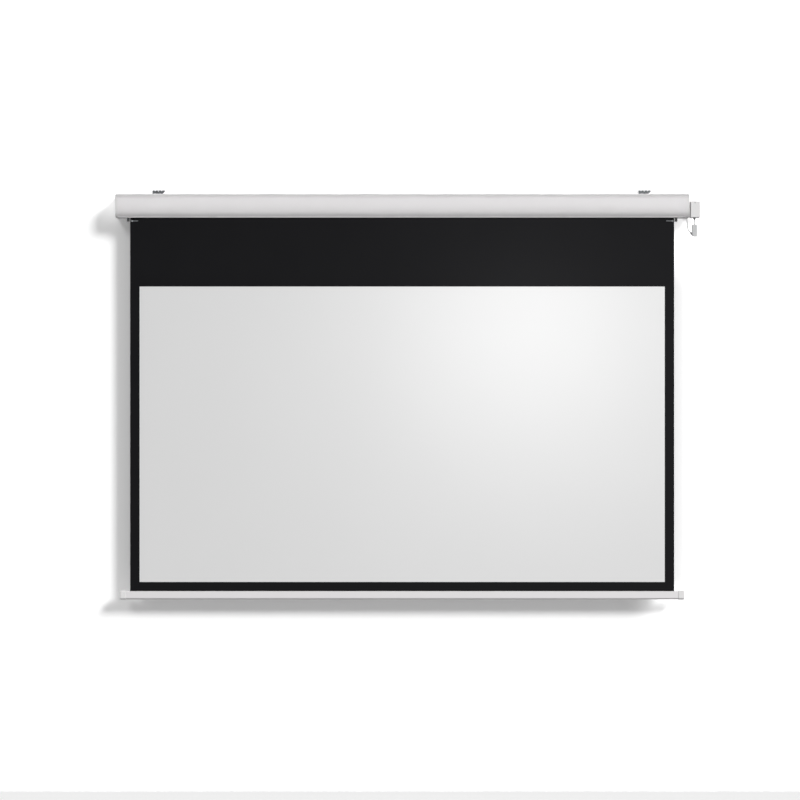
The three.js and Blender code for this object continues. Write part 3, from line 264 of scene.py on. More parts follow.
# %% [markdown]
# ## Glass-filled nylon: roller brackets, idler plug, drive wheel
# The brackets that carry the roller are black nylon with glass fibre. Fibres lie close under the
# skin and follow the flow of the plastic, so the surface has short, pale streaks and a dull sheen.
# Noise that is stretched along one axis gives the streaks.

# %% Black nylon
tree, shader, place = start_finish("glass_filled_black_nylon")
flow = add(tree, "ShaderNodeMapping", {"Vector": place, "Scale": (1.0, 1.0, 0.12)})
fibre = noise(tree, flow.outputs["Vector"], size_mm=0.5, detail=4.0)
end_finish(tree, shader, fibre, "#1A1A1C", "#29292B", 0.45, 0.62, relief_mm=0.03)

# %% [markdown]
# ## Rubber and flexible PVC: the cloth's welt, the gland, the grommet and the boot
# Soft parts that grip cloth or hold a lead are matt and very slightly mottled, with no sharp
# highlight.

# %% Black rubber and grey PVC
tree, shader, place = start_finish("black_nitrile_rubber")
bloom = noise(tree, place, size_mm=5, detail=5.0)
end_finish(tree, shader, bloom, "#1D1D1E", "#303031", 0.62, 0.8, relief_mm=0.04)

tree, shader, place = start_finish("dark_grey_pvc_boot")
bloom = noise(tree, place, size_mm=4, detail=5.0)
end_finish(tree, shader, bloom, "#6F7072", "#7D7E80", 0.5, 0.66, relief_mm=0.03)

# %% [markdown]
# ## Grey ABS: the in-line connector, the motor's head and the limit switch
# A mid grey moulded plastic with the same kind of grain as the white parts, only a little
# shallower.

# %% Grey ABS
tree, shader, place = start_finish("moulded_grey_abs")
drift = noise(tree, place, size_mm=14, detail=3.0)
pebble = add(tree, "ShaderNodeTexVoronoi", {"Vector": place, "Scale": per_metre(0.4),
                                            "Randomness": 1.0})
end_finish(tree, shader, drift, "#B9BABB", "#C3C4C4", 0.42, 0.54,
           pebble.outputs["Distance"], relief_mm=0.02)

# %% [markdown]
# ## Soft PVC: the jackets of the leads
# The jacket is extruded from plasticised PVC, so it is smooth, pale grey and slightly shiny, with
# faint rings where the extruder pulsed.

# %% PVC jacket
tree, shader, place = start_finish("extruded_pale_pvc_jacket")
pulse = noise(tree, place, size_mm=7, detail=2.0)
end_finish(tree, shader, pulse, "#BDBEBD", "#CACACA", 0.36, 0.46, relief_mm=0.05)

# %% [markdown]
# ## Dark zinc plate: the hanger brackets with their bolts and washers
# The hangers are bent from steel sheet and plated with dark zinc, and so are their bolts. Under the
# plating one still sees the rolling direction as fine streaks, and the plating is cloudy, a little
# lighter in some places.

# %% Dark zinc on steel
tree, shader, place = start_finish("dark_zinc_plated_steel", metallic=1.0)
rolled = add(tree, "ShaderNodeMapping", {"Vector": place, "Scale": (0.06, 1.0, 1.0)})
streak = noise(tree, rolled.outputs["Vector"], size_mm=0.5, detail=4.0)
cloud = noise(tree, place, size_mm=9, detail=4.0)
both = add(tree, "ShaderNodeMath", {0: streak, 1: cloud}, operation="MULTIPLY")
end_finish(tree, shader, both.outputs["Value"], "#4B4D4F", "#828486", 0.38, 0.6,
           streak, relief_mm=0.015)

# %% [markdown]
# ## Bright zinc plate: screws, shafts and the idler's pin
# Small screws and turned pins are steel with bright zinc. They are the shiniest things here, but
# the zinc is milky, so the roughness stays well away from a mirror's.

# %% Bright zinc on steel
tree, shader, place = start_finish("bright_zinc_plated_steel", metallic=1.0)
turned = noise(tree, place, size_mm=0.6, detail=4.0)
milk = noise(tree, place, size_mm=3, detail=3.0)
end_finish(tree, shader, milk, "#A9ABAC", "#C6C7C7", 0.24, 0.4, turned, relief_mm=0.01)

# %% [markdown]
# ## Phosphated steel: the guide pins
# The pins that keep the cloth's edges back are phosphated and oiled, which leaves steel a dull mid
# grey. In front of black cloth the eye gets a thin grey line with no glint.

# %% Phosphate on steel
tree, shader, place = start_finish("phosphated_steel", metallic=1.0)
crystal = noise(tree, place, size_mm=0.5, detail=4.0)
end_finish(tree, shader, crystal, "#8A8C8E", "#9C9EA0", 0.5, 0.62, relief_mm=0.01)

# %% [markdown]
# ## Mill-finish aluminium: the roller tube
# The tube is a plain extrusion. The die leaves straight lines along it, so the noise is drawn out
# along X until it is a bundle of long scratches.

# %% Extruded aluminium
tree, shader, place = start_finish("mill_finish_extruded_aluminium", metallic=1.0)
drawn = add(tree, "ShaderNodeMapping", {"Vector": place, "Scale": (0.01, 1.0, 1.0)})
scratch = noise(tree, drawn.outputs["Vector"], size_mm=0.7, detail=4.0)
end_finish(tree, shader, scratch, "#B4B7B9", "#D2D4D5", 0.26, 0.44, relief_mm=0.02)

# %% [markdown]
# ## Black coated cloth: the masking and the back of the screen
# The cloth is a polyester scrim that is coated with black PVC on both sides. The coating is thin
# enough for the weave to print through as a fine grid. Two wave textures at right angles, on the
# cloth's own UV map in metres, give a grid that stays on the cloth when the screen is rolled up.
# Real threads are about 0.6 mm apart. They are drawn six times as coarse, so that they show in a
# view of a few hand's widths. The coat is nearly matt, and a lamp near by leaves only a faint grey
# bloom on it.

# %% Black PVC cloth
tree, shader, place = start_finish("black_pvc_coated_scrim", coordinates="UV")
drawn_thread = bands(3.77)
warp = add(tree, "ShaderNodeTexWave", {"Vector": place, "Scale": drawn_thread}, bands_direction="X")
weft = add(tree, "ShaderNodeTexWave", {"Vector": place, "Scale": drawn_thread}, bands_direction="Y")
weave = add(tree, "ShaderNodeMath", {0: warp.outputs["Fac"], 1: weft.outputs["Fac"]},
            operation="ADD")
lint = noise(tree, place, size_mm=170, detail=4.0)
end_finish(tree, shader, lint, "#0A0A0C", "#101012", 0.46, 0.54,
           weave.outputs["Value"], relief_mm=0.02)
shader.inputs["Specular IOR Level"].default_value = 0.06

# %% [markdown]
# ## Matt white projection coating
# The viewing surface is printed on the cloth as a matt white coat with very fine glass grains, so
# that it sends light back evenly to every seat. It has no gloss at all. Up close it is like fine
# sandpaper, and the grain is drawn at 0.5 mm, a little coarser than the real one, so that it shows
# in a close view.

# %% White projection coat
tree, shader, place = start_finish("matt_white_projection_coat", coordinates="UV")
grain = noise(tree, place, size_mm=0.5, detail=2.0)
drift = noise(tree, place, size_mm=400, detail=2.0)
end_finish(tree, shader, drift, "#D2D2D2", "#D5D5D5", 0.82, 0.9, grain, relief_mm=0.02)

# %% [markdown]
# ## The small inner finishes
# A motor's stator is wound with varnished copper wire, its rotor is a stack of steel sheets, and
# the receiver's board is green under its solder mask. They sit behind walls, yet each gets its real
# pattern, because a part can be cut open or seen through its slot.

# %% Copper, laminations, board, window
tree, shader, place = start_finish("enamelled_copper_wire", metallic=1.0)
turns = add(tree, "ShaderNodeTexWave", {"Vector": place, "Scale": bands(0.7), "Distortion": 1.5})
end_finish(tree, shader, turns.outputs["Fac"], "#7A3A1E", "#C0703C", 0.28, 0.42, relief_mm=0.12)

tree, shader, place = start_finish("stacked_electrical_steel", metallic=1.0)
sheets = add(tree, "ShaderNodeTexWave", {"Vector": place, "Scale": bands(0.5)}, bands_direction="X")
end_finish(tree, shader, sheets.outputs["Fac"], "#5E6062", "#A5A7A8", 0.35, 0.5, relief_mm=0.05)

tree, shader, place = start_finish("green_solder_mask")
tracks = add(tree, "ShaderNodeTexBrick", {
    "Vector": place, "Scale": per_metre(5), "Color1": linear("#1F6B38"),
    "Color2": linear("#27783F"), "Mortar": linear("#3C9455"), "Mortar Size": 0.04})
bump = add(tree, "ShaderNodeBump", {"Height": tracks.outputs["Fac"], "Distance": 0.05 * MM})
tree.links.new(tracks.outputs["Color"], shader.inputs["Base Color"])
tree.links.new(bump.outputs["Normal"], shader.inputs["Normal"])
shader.inputs["Roughness"].default_value = 0.3

tree, shader, place = start_finish("frosted_acrylic_window", ior=1.49)
haze = noise(tree, place, size_mm=2, detail=3.0)
end_finish(tree, shader, haze, "#8E9092", "#9A9C9E", 0.3, 0.4, relief_mm=0.002)
print(len(finishes), "finishes:", ", ".join(finishes))

# %% [markdown]
# ## Which part has which finish
# Parts that share a process share a finish, so one table of part names is enough.

# %% The table of finishes
finish_of = {}
for finish, nodes in {
    "polyester_powder_coat": "case_profile front_panel slot_lip bottom_bar motor_tube",
    "moulded_white_abs": "end_cap_left end_cap_right bottom_bar_cap_left bottom_bar_cap_right "
                         "receiver_neck receiver_box receiver_cover mains_entry_plug idler_bush",
    "glass_filled_black_nylon": "roller_bracket_left roller_bracket_right idler_plug drive_wheel "
                                "crown_ring motor_capacitor brake_disc",
    "black_nitrile_rubber": "cloth_welt",
    "dark_grey_pvc_boot": "receiver_lead_gland motor_lead_grommet",
    "moulded_grey_abs": "lead_socket lead_plug motor_head limit_switch",
    "extruded_pale_pvc_jacket": "motor_cable_inside",
    "dark_zinc_plated_steel": "hanger_left_plate hanger_right_plate hanger_left_bolt_inner "
                              "hanger_left_bolt_outer hanger_right_bolt_inner "
                              "hanger_right_bolt_outer gearbox brake_cup",
    "phosphated_steel": "guide_pin_left guide_pin_right",
    "bright_zinc_plated_steel": "end_cap_screw_left_upper end_cap_screw_left_lower "
                                "end_cap_screw_right_upper end_cap_screw_right_lower "
                                "roller_bracket_screw_left roller_bracket_screw_right idler_pin "
                                "output_shaft receiver_cover_screw limit_screw_upper "
                                "limit_screw_lower",
    "mill_finish_extruded_aluminium": "roller_tube",
    "enamelled_copper_wire": "motor_stator",
    "stacked_electrical_steel": "motor_rotor",
    "green_solder_mask": "receiver_board",
    "frosted_acrylic_window": "receiver_window",
    "black_pvc_coated_scrim": "cloth_backing cloth_winding",
    "matt_white_projection_coat": "viewing_surface",
}.items():
    for node in nodes.split():
        finish_of[node] = finish
for node, thing in frame["nodes"].items():
    thing.data.materials.clear()
    thing.data.materials.append(finishes[finish_of.get(node, "extruded_pale_pvc_jacket")])
print("parts without a row of their own:", sorted(set(frame["nodes"]) - set(finish_of)))

# %% [markdown]
# ## Soft edges on the rigid parts
# No real edge is perfectly sharp. Extruded, moulded and bent parts all have a small radius that
# catches a line of light. A copy of each CAD part is merged into one skin, its flat faces are
# joined, and a narrow bevel goes round what is left. The copy then stands for the CAD part. Curved
# walls are shaded smooth, and only edges that turn by more than 30 degrees stay crisp.

# %% Bevel a copy of each rigid part
body_of_node = {node: body for body, nodes in frame["record"]["behaviour"]["bodies"].items()
                for node in nodes}
crisp = math.radians(30)
flat_enough = math.radians(0.4)
same_point = 0.001 * MM


def skin_of(node):
    """The node's mesh as one welded skin with its flat faces joined, and its volume."""
    skin = bmesh.new()
    skin.from_mesh(frame["nodes"][node].data)
    bmesh.ops.remove_doubles(skin, verts=skin.verts, dist=same_point)
    volume = skin.calc_volume()
    bmesh.ops.dissolve_limit(skin, angle_limit=flat_enough, verts=skin.verts, edges=skin.edges)
    return skin, volume


def finished_mesh(thing):
    """Turns what the modifiers make into a plain mesh, and takes the modifiers off."""
    thing_now = thing.evaluated_get(bpy.context.evaluated_depsgraph_get())
    made = bpy.data.meshes.new_from_object(thing_now)
    thing.modifiers.clear()
    thing.data = made
    return made


def dress(node, bevel_mm, segments=2):
    """A copy of the part with soft edges, which stands for it, and the share of its volume kept."""
    skin, volume = skin_of(node)
    for face in skin.faces:
        face.smooth = True
    for edge in skin.edges:
        edge.smooth = edge.is_manifold and edge.calc_face_angle(0) < crisp
    mesh = bpy.data.meshes.new(node + "_finished")
    skin.to_mesh(mesh)
    skin.free()
    thing = put(node + "_finished", mesh)
    mesh.materials.append(finishes[finish_of[node]])
    bevel = thing.modifiers.new("soft edges", "BEVEL")
    bevel.width = bevel_mm * MM
    bevel.segments = segments
    bevel.limit_method = "ANGLE"
    bevel.angle_limit = crisp
    bevel.use_clamp_overlap = True
    thing.modifiers.new("even shading", "WEIGHTED_NORMAL").keep_sharp = True
    made = finished_mesh(thing)
    check = bmesh.new()
    check.from_mesh(made)
    share = check.calc_volume() / volume
    check.free()
    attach(thing, body_of_node[node])
    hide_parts(node)
    return thing, share


bevels = {
    "case_profile": 0.25, "front_panel": 0.2, "slot_lip": 0.2, "bottom_bar": 0.3,
    "end_cap_left": 0.4, "end_cap_right": 0.4, "bottom_bar_cap_left": 0.4,
    "bottom_bar_cap_right": 0.4, "receiver_neck": 0.3, "receiver_box": 0.6, "receiver_cover": 0.6,
    "receiver_window": 0.2, "mains_entry_plug": 0.2, "receiver_lead_gland": 0.3,
    "motor_lead_grommet": 0.3, "lead_socket": 0.4, "lead_plug": 0.3, "roller_bracket_left": 0.5,
    "roller_bracket_right": 0.5, "guide_pin_left": 0.15, "guide_pin_right": 0.15,
    "hanger_left_plate": 0.3, "hanger_right_plate": 0.3, "hanger_left_bolt_inner": 0.3,
    "hanger_left_bolt_outer": 0.3, "hanger_right_bolt_inner": 0.3, "hanger_right_bolt_outer": 0.3,
    "roller_bracket_screw_left": 0.15, "roller_bracket_screw_right": 0.15,
    "end_cap_screw_left_upper": 0.15, "end_cap_screw_left_lower": 0.15,
    "end_cap_screw_right_upper": 0.15, "end_cap_screw_right_lower": 0.15,
    "receiver_cover_screw": 0.15, "roller_tube": 0.2, "idler_plug": 0.2, "motor_head": 0.3,
    "drive_wheel": 0.15, "limit_screw_upper": 0.1, "limit_screw_lower": 0.1,
}
least_share, most_share = 0.97, 1.01
dressed = {}
for node, width in bevels.items():
    dressed[node], share = dress(node, width)
    if not least_share < share < most_share:
        print(node, "changed its volume to", round(share, 3))
faces = sum(len(thing.data.polygons) for thing in dressed.values())
print(len(dressed), "parts with soft edges,", faces, "faces")

# %% [markdown]
# ## The hanging cloth and its white coat
# The cloth is one sheet of coated scrim, 2.072 m wide. The bar pulls it flat, but a coated cloth
# never hangs like glass: its free side edges curl back by a millimetre, and long shallow waves run
# across it. Both layers are grids that follow the same rule, so that the coat stays on the cloth,
# and a Solidify modifier gives each its thickness. At the top and at the bottom the rule fades out,
# because the roller and the bar hold the cloth.

# %% Hang the cloth
def unroll(mesh, flat_place):
    """Gives the mesh a UV map in metres: each corner's place on the cloth when that lies flat."""
    uv = mesh.uv_layers.new(name="UVMap")
    for loop in mesh.loops:
        uv.data[loop.index].uv = flat_place(mesh.vertices[loop.vertex_index].co)


curl_starts, curl_width = 0.93, 0.106
curl_mm, wave_mm = 1.1, 0.35
held_at_top, free_length = -0.0001, 1.4669


def lean(x, t):
    """How far the cloth stands back, in metres, at a place across it and a share of its height."""
    hold = math.sin(math.pi * min(max(t, 0), 1)) ** 2
    edge = max(0.0, (abs(x) - curl_starts) / curl_width) ** 2
    # Two slow waves, in radians for each metre across and for the whole way down.
    long_wave = math.sin(x * 5.3 + 0.8) * math.sin(9.1 * t + 0.5)
    slant_wave = math.sin(x * 11.0 - 4.0 * t)
    return hold * (curl_mm * edge + wave_mm * (long_wave + 0.5 * slant_wave)) * MM


def hang(name, half_width, upper, lower, front, thickness, finish, columns, rows):
    """A sheet from its upper to its lower edge, with its front face at the depth given."""
    mesh = bpy.data.meshes.new(name)
    grid = bmesh.new()
    across = [half_width * (2 * c / columns - 1) for c in range(columns + 1)]
    lines = []
    for r in range(rows + 1):
        z = upper + (lower - upper) * r / rows
        t = (held_at_top - z) / free_length
        lines.append([grid.verts.new((x, front + lean(x, t), z)) for x in across])
    for above, below in zip(lines, lines[1:]):
        for c in range(columns):
            grid.faces.new((above[c], below[c], below[c + 1], above[c + 1])).smooth = True
    grid.to_mesh(mesh)
    grid.free()
    thing = put(name, mesh)
    mesh.materials.append(finishes[finish])
    solid = thing.modifiers.new("thickness", "SOLIDIFY")
    solid.thickness = thickness
    solid.offset = -1
    made = finished_mesh(thing)
    made.set_sharp_from_angle(angle=crisp)
    unroll(made, lambda place: (place.x, place.z))
    print(name, "has", len(made.polygons), "faces")
    return thing


cloth = hang("black_cloth", half_width=1.036, upper=-0.0001, lower=-1.4700, front=-0.0653,
             thickness=0.00035, finish="black_pvc_coated_scrim", columns=150, rows=110)
coat = hang("white_coat", half_width=1.0, upper=-0.3075, lower=-1.4325, front=-0.06555,
            thickness=0.0002, finish="matt_white_projection_coat", columns=140, rows=80)
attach(cloth, "case")
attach(coat, "case")
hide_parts("cloth_backing")
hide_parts("viewing_surface")
# With the bar right up, 66.4 mm of the cloth's 1469.9 mm are left between the roller and the bar.
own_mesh(cloth)
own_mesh(coat)

# %% [markdown]
# ## The wound cloth, as a spiral
# Some turns of cloth stay on the roller even when the screen is right down. Seen from the end they
# are a spiral, and a spiral is a rule, so Geometry Nodes draw it: a spiral curve carries a thin
# rectangle that is as wide as the cloth. Its sizes are inputs of the node group.

# %% Geometry Nodes helper
def node_group(name, sizes):
    """An empty node group with an output, and with an input for each named size."""
    group = bpy.data.node_groups.new(name, "GeometryNodeTree")
    group.interface.new_socket("Geometry", in_out="OUTPUT", socket_type="NodeSocketGeometry")
    for label, value in sizes.items():
        kind = "NodeSocketInt" if isinstance(value, int) else "NodeSocketFloat"
        if isinstance(value, (tuple, Vector)):
            kind = "NodeSocketVector"
        group.interface.new_socket(label, in_out="INPUT", socket_type=kind)
    return group, group.nodes.new("NodeGroupInput"), group.nodes.new("NodeGroupOutput")


def finish_group(group, last, output, finish):
    """Ends a tree in Realize Instances and Set Material."""
    real = add(group, "GeometryNodeRealizeInstances", {"Geometry": last})
    painted = add(group, "GeometryNodeSetMaterial", {"Geometry": real.outputs["Geometry"],
                                                     "Material": finishes[finish]})
    group.links.new(painted.outputs["Geometry"], output.inputs["Geometry"])


def grow(name, group, sizes, body):
    """A plain mesh made by the group, whose inputs are set by their identifiers."""
    thing = put(name, bpy.data.meshes.new(name))
    step = thing.modifiers.new(name, "NODES")
    step.node_group = group
    for socket in group.interface.items_tree:
        if socket.item_type == "SOCKET" and socket.in_out == "INPUT":
            step[socket.identifier] = sizes[socket.name]
    made = finished_mesh(thing)
    for face in made.polygons:
        face.use_smooth = True
    made.set_sharp_from_angle(angle=crisp)
    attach(thing, body)
    print(name, "has", len(made.polygons), "faces")
    return thing


# %% Wind the cloth on the roller
winding_sizes = {"Inner radius": 0.0255, "Outer radius": 0.026675, "Turns": 3.25,
                 "Thickness": 0.00033, "Width": 2.072, "Axis depth": -0.038}
group, given, output = node_group("wound cloth", winding_sizes)
spiral = add(group, "GeometryNodeCurveSpiral", {
    "Resolution": 64, "Rotations": given.outputs["Turns"], "Height": 0.0,
    "Start Radius": given.outputs["Inner radius"], "End Radius": given.outputs["Outer radius"]})
section = add(group, "GeometryNodeCurvePrimitiveQuadrilateral", {
    "Width": given.outputs["Thickness"], "Height": given.outputs["Width"]})
wound = add(group, "GeometryNodeCurveToMesh", {
    "Curve": spiral.outputs["Curve"], "Profile Curve": section.outputs["Curve"],
    "Fill Caps": True})
axis = add(group, "ShaderNodeCombineXYZ", {"Y": given.outputs["Axis depth"]})
laid = add(group, "GeometryNodeTransform", {
    "Geometry": wound.outputs["Mesh"], "Translation": axis.outputs["Vector"],
    "Rotation": (0.0, math.pi / 2, 0.0)})
finish_group(group, laid.outputs["Geometry"], output, "black_pvc_coated_scrim")
winding = grow("wound_cloth", group, winding_sizes, "roller")
map_radius, axis_depth = 0.026, winding_sizes["Axis depth"]
unroll(winding.data, lambda place: (
    place.x, map_radius * math.atan2(place.z, place.y - axis_depth)))
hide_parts("cloth_winding")
low, high = (Vector([limit(v.co[k] for v in winding.data.vertices) for k in range(3)])
             for limit in (min, max))
print("wound cloth:", [round(v, 4) for v in (*low, *high)])

# %% [markdown]
# ## Ribs that repeat
# The connector has small grip ribs where two fingers pull it apart, and its boot is a ribbed sleeve
# that lets the lead bend gently. Both repeat along a line, so Geometry Nodes place them: a rib is
# made once and stands on the points of a mesh line, or a ring profile swells and shrinks along a
# short curve.

# %% Grip ribs on the connector
def ribs_on(name, start, step, count, length, radius, turned, body, finish):
    """A row of small round bars, each as long as length, from start in equal steps."""
    sizes = {"Start": start, "Step": step, "Count": count, "Length": length, "Radius": radius}
    group, given, output = node_group(name, sizes)
    row = add(group, "GeometryNodeMeshLine", {
        "Count": given.outputs["Count"], "Start Location": given.outputs["Start"],
        "Offset": given.outputs["Step"]}, mode="OFFSET")
    bar = add(group, "GeometryNodeMeshCylinder", {
        "Vertices": 10, "Radius": given.outputs["Radius"], "Depth": given.outputs["Length"]})
    placed = add(group, "GeometryNodeInstanceOnPoints", {
        "Points": row.outputs["Mesh"], "Instance": bar.outputs["Mesh"], "Rotation": turned})
    finish_group(group, placed.outputs["Instances"], output, finish)
    return grow(name, group, sizes, body)


across = (0.0, math.pi / 2, 0.0)
socket_low, socket_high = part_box("lead_socket")
plug_low, plug_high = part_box("lead_plug")
middle = (socket_low.x + socket_high.x) / 2
print("socket", [round(v / MM, 1) for v in (*socket_low, *socket_high)],
      "plug", [round(v / MM, 1) for v in (*plug_low, *plug_high)])
rib_step, rib_length, rib_radius = (0.0, 0.0, -0.0022), 0.0138, 0.00045
grips = []
for part, first_rib, count in (("socket", -0.0762, 7), ("plug", -0.0976, 5)):
    for face, y in (("front", socket_low.y), ("back", socket_high.y)):
        grips.append(ribs_on(part + "_grip_" + face, (middle, y, first_rib), rib_step, count,
                             rib_length, rib_radius, across, "case",
                             "moulded_grey_abs"))

# %% Ribbed sleeve over the plug's boot
sleeve_sizes = {"Foot": Vector((1.1101, -0.056, -0.1108)), "Tip": Vector((1.0991, -0.056, -0.1018)),
                "Foot radius": 0.0054, "Tip radius": 0.0033, "Rings": 6.0, "Ring depth": 0.0004}
group, given, output = node_group("ribbed sleeve", sleeve_sizes)
spine = add(group, "GeometryNodeCurvePrimitiveLine", {
    "Start": given.outputs["Foot"], "End": given.outputs["Tip"]})
fine = add(group, "GeometryNodeResampleCurve", {"Curve": spine.outputs["Curve"], "Count": 61})
along = add(group, "GeometryNodeSplineParameter")
taper = add(group, "ShaderNodeMapRange", {
    "Value": along.outputs["Factor"], "To Min": given.outputs["Foot radius"],
    "To Max": given.outputs["Tip radius"]})
turns = add(group, "ShaderNodeMath", {0: along.outputs["Factor"], 1: given.outputs["Rings"]},
            operation="MULTIPLY")
angle = add(group, "ShaderNodeMath", {0: turns.outputs["Value"], 1: 2 * math.pi},
            operation="MULTIPLY")
swell = add(group, "ShaderNodeMath", {0: angle.outputs["Value"]}, operation="COSINE")
deep = add(group, "ShaderNodeMath", {0: swell.outputs["Value"], 1: given.outputs["Ring depth"]},
           operation="MULTIPLY")
radius = add(group, "ShaderNodeMath", {0: taper.outputs["Result"], 1: deep.outputs["Value"]},
             operation="SUBTRACT")
shaped = add(group, "GeometryNodeSetCurveRadius", {
    "Curve": fine.outputs["Curve"], "Radius": radius.outputs["Value"]})
ring = add(group, "GeometryNodeCurvePrimitiveCircle", {"Resolution": 32, "Radius": 1.0})
tube = add(group, "GeometryNodeCurveToMesh", {
    "Curve": shaped.outputs["Curve"], "Profile Curve": ring.outputs["Curve"],
    "Scale": radius.outputs["Value"], "Fill Caps": True})
finish_group(group, tube.outputs["Mesh"], output, "dark_grey_pvc_boot")
sleeve = grow("boot_sleeve", group, sleeve_sizes, "case")

# %% [markdown]
# ## Serrated washers on the hangers
# Each hanger is held by two bolts. A serrated washer under the head bites into the zinc, so the
# bolt can't work loose. The washer is a ring whose rim goes in and out: one node group makes it and
# sets it on the four points.

# %% Washers
head_above_washer = 0.00395
washer_sizes = {"Inner radius": 0.0061, "Outer radius": 0.0084, "Tooth": 0.0005,
                "Thickness": 0.0008,
                "Level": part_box("hanger_left_bolt_inner")[1].z - head_above_washer}
group, given, output = node_group("serrated washers", washer_sizes)
rim = add(group, "GeometryNodeCurvePrimitiveCircle", {
    "Resolution": 48, "Radius": given.outputs["Outer radius"]})
number = add(group, "GeometryNodeInputIndex")
odd = add(group, "ShaderNodeMath", {0: number.outputs["Index"], 1: 2.0}, operation="MODULO")
inward = add(group, "ShaderNodeMath", {0: odd.outputs["Value"], 1: given.outputs["Tooth"]},
             operation="MULTIPLY")
here = add(group, "GeometryNodeInputPosition")
outward = add(group, "ShaderNodeVectorMath", {0: here.outputs["Position"]}, operation="NORMALIZE")
shift = add(group, "ShaderNodeVectorMath", {
    0: outward.outputs["Vector"], "Scale": inward.outputs["Value"]}, operation="SCALE")
toothed = add(group, "GeometryNodeSetPosition", {
    "Geometry": rim.outputs["Curve"], "Offset": shift.outputs["Vector"]})
bore = add(group, "GeometryNodeCurvePrimitiveCircle", {
    "Resolution": 48, "Radius": given.outputs["Inner radius"]})
both = add(group, "GeometryNodeJoinGeometry")
group.links.new(bore.outputs["Curve"], both.inputs["Geometry"])
group.links.new(toothed.outputs["Geometry"], both.inputs["Geometry"])
filled = add(group, "GeometryNodeFillCurve", {"Curve": both.outputs["Geometry"]})
backed = add(group, "GeometryNodeFlipFaces", {"Mesh": filled.outputs["Mesh"]})
raised = add(group, "GeometryNodeExtrudeMesh", {
    "Mesh": filled.outputs["Mesh"], "Individual": False, "Offset": (0.0, 0.0, 1.0),
    "Offset Scale": given.outputs["Thickness"]})
shell = add(group, "GeometryNodeJoinGeometry")
group.links.new(backed.outputs["Mesh"], shell.inputs["Geometry"])
group.links.new(raised.outputs["Mesh"], shell.inputs["Geometry"])
closed = add(group, "GeometryNodeMergeByDistance", {
    "Geometry": shell.outputs["Geometry"], "Distance": 0.01 * MM})
level = add(group, "ShaderNodeCombineXYZ", {"Z": given.outputs["Level"]})
bolt_points = add(group, "GeometryNodeJoinGeometry")
for bolt in ("hanger_left_bolt_outer", "hanger_left_bolt_inner", "hanger_right_bolt_inner",
             "hanger_right_bolt_outer"):
    low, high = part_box(bolt)
    point = add(group, "GeometryNodeMeshLine", {
        "Count": 1, "Start Location": ((low.x + high.x) / 2, (low.y + high.y) / 2, 0)})
    group.links.new(point.outputs["Mesh"], bolt_points.inputs["Geometry"])
on_foot = add(group, "GeometryNodeSetPosition", {
    "Geometry": bolt_points.outputs["Geometry"], "Offset": level.outputs["Vector"]})
placed = add(group, "GeometryNodeInstanceOnPoints", {
    "Points": on_foot.outputs["Geometry"], "Instance": closed.outputs["Geometry"]})
finish_group(group, placed.outputs["Instances"], output, "dark_zinc_plated_steel")
grow("serrated_washers", group, washer_sizes, "case")

# %% [markdown]
# ## The leads join the parts they hang from
# Both leads get the PVC jacket's finish and move with the case, in place of the CAD leads.

for cable, node in ((motor_lead, "motor_lead"), (receiver_lead, "receiver_lead")):
    cable.data.materials.append(finishes["extruded_pale_pvc_jacket"])
    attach(cable, "case")
    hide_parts(node)

# %% [markdown]
# ## Wall and floor
# The screen hangs on a white wall above a pale floor. Neither of them sends light or shadow to the
# screen, and their white comes from their own colour and a little glow. The wall catches the
# screen's shadow. It is clear from behind, so that the back of the screen can be looked at too.

# %% Build the stage
def plane(name, corners, finish):
    """A flat piece of the stage, which throws no light and no shadow on the screen."""
    mesh = bpy.data.meshes.new(name)
    mesh.from_pydata(corners, [], [tuple(range(len(corners)))])
    thing = put(name, mesh)
    mesh.materials.append(finish)
    thing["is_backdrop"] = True
    thing.visible_diffuse = False
    thing.visible_shadow = False
    return thing


def stage_finish(name, colour, glow):
    """A matt colour that also glows a little, is white in reflections, and clear from its back."""
    material = bpy.data.materials.new(name)
    material.use_nodes = True
    tree = material.node_tree
    tree.nodes.clear()
    ray = add(tree, "ShaderNodeLightPath")
    side = add(tree, "ShaderNodeNewGeometry")
    matt = add(tree, "ShaderNodeBsdfDiffuse", {"Color": colour})
    own = add(tree, "ShaderNodeEmission", {"Strength": glow})
    lit = add(tree, "ShaderNodeAddShader", {0: matt.outputs["BSDF"], 1: own.outputs["Emission"]})
    white = add(tree, "ShaderNodeEmission", {"Strength": 1.0})
    mirrored = add(tree, "ShaderNodeMath", {
        0: ray.outputs["Is Glossy Ray"], 1: ray.outputs["Is Transmission Ray"]},
        operation="MAXIMUM")
    seen = add(tree, "ShaderNodeMixShader", {
        0: mirrored.outputs["Value"], 1: lit.outputs["Shader"], 2: white.outputs["Emission"]})
    clear = add(tree, "ShaderNodeBsdfTransparent")
    end = add(tree, "ShaderNodeMixShader", {
        0: side.outputs["Backfacing"], 1: seen.outputs["Shader"], 2: clear.outputs["BSDF"]})
    add(tree, "ShaderNodeOutputMaterial", {"Surface": end.outputs["Shader"]})
    return material


stage_side, stage_top, stage_front = 14, 9, -16
wall_face, floor_level = 0.001, -2.238
wall = plane("wall", [(-stage_side, wall_face, floor_level), (stage_side, wall_face, floor_level),
                      (stage_side, wall_face, stage_top), (-stage_side, wall_face, stage_top)],
             stage_finish("white_wall", colour=(1.1, 1.1, 1.1, 1), glow=0.13))
floor = plane("floor", [(-stage_side, stage_front, floor_level),
                        (stage_side, stage_front, floor_level),
                        (stage_side, wall_face, floor_level),
                        (-stage_side, wall_face, floor_level)],
              stage_finish("pale_floor", colour=linear("#EFEFEF"), glow=0.32))
print("stage:", wall.name, "and", floor.name, "at", floor_level)

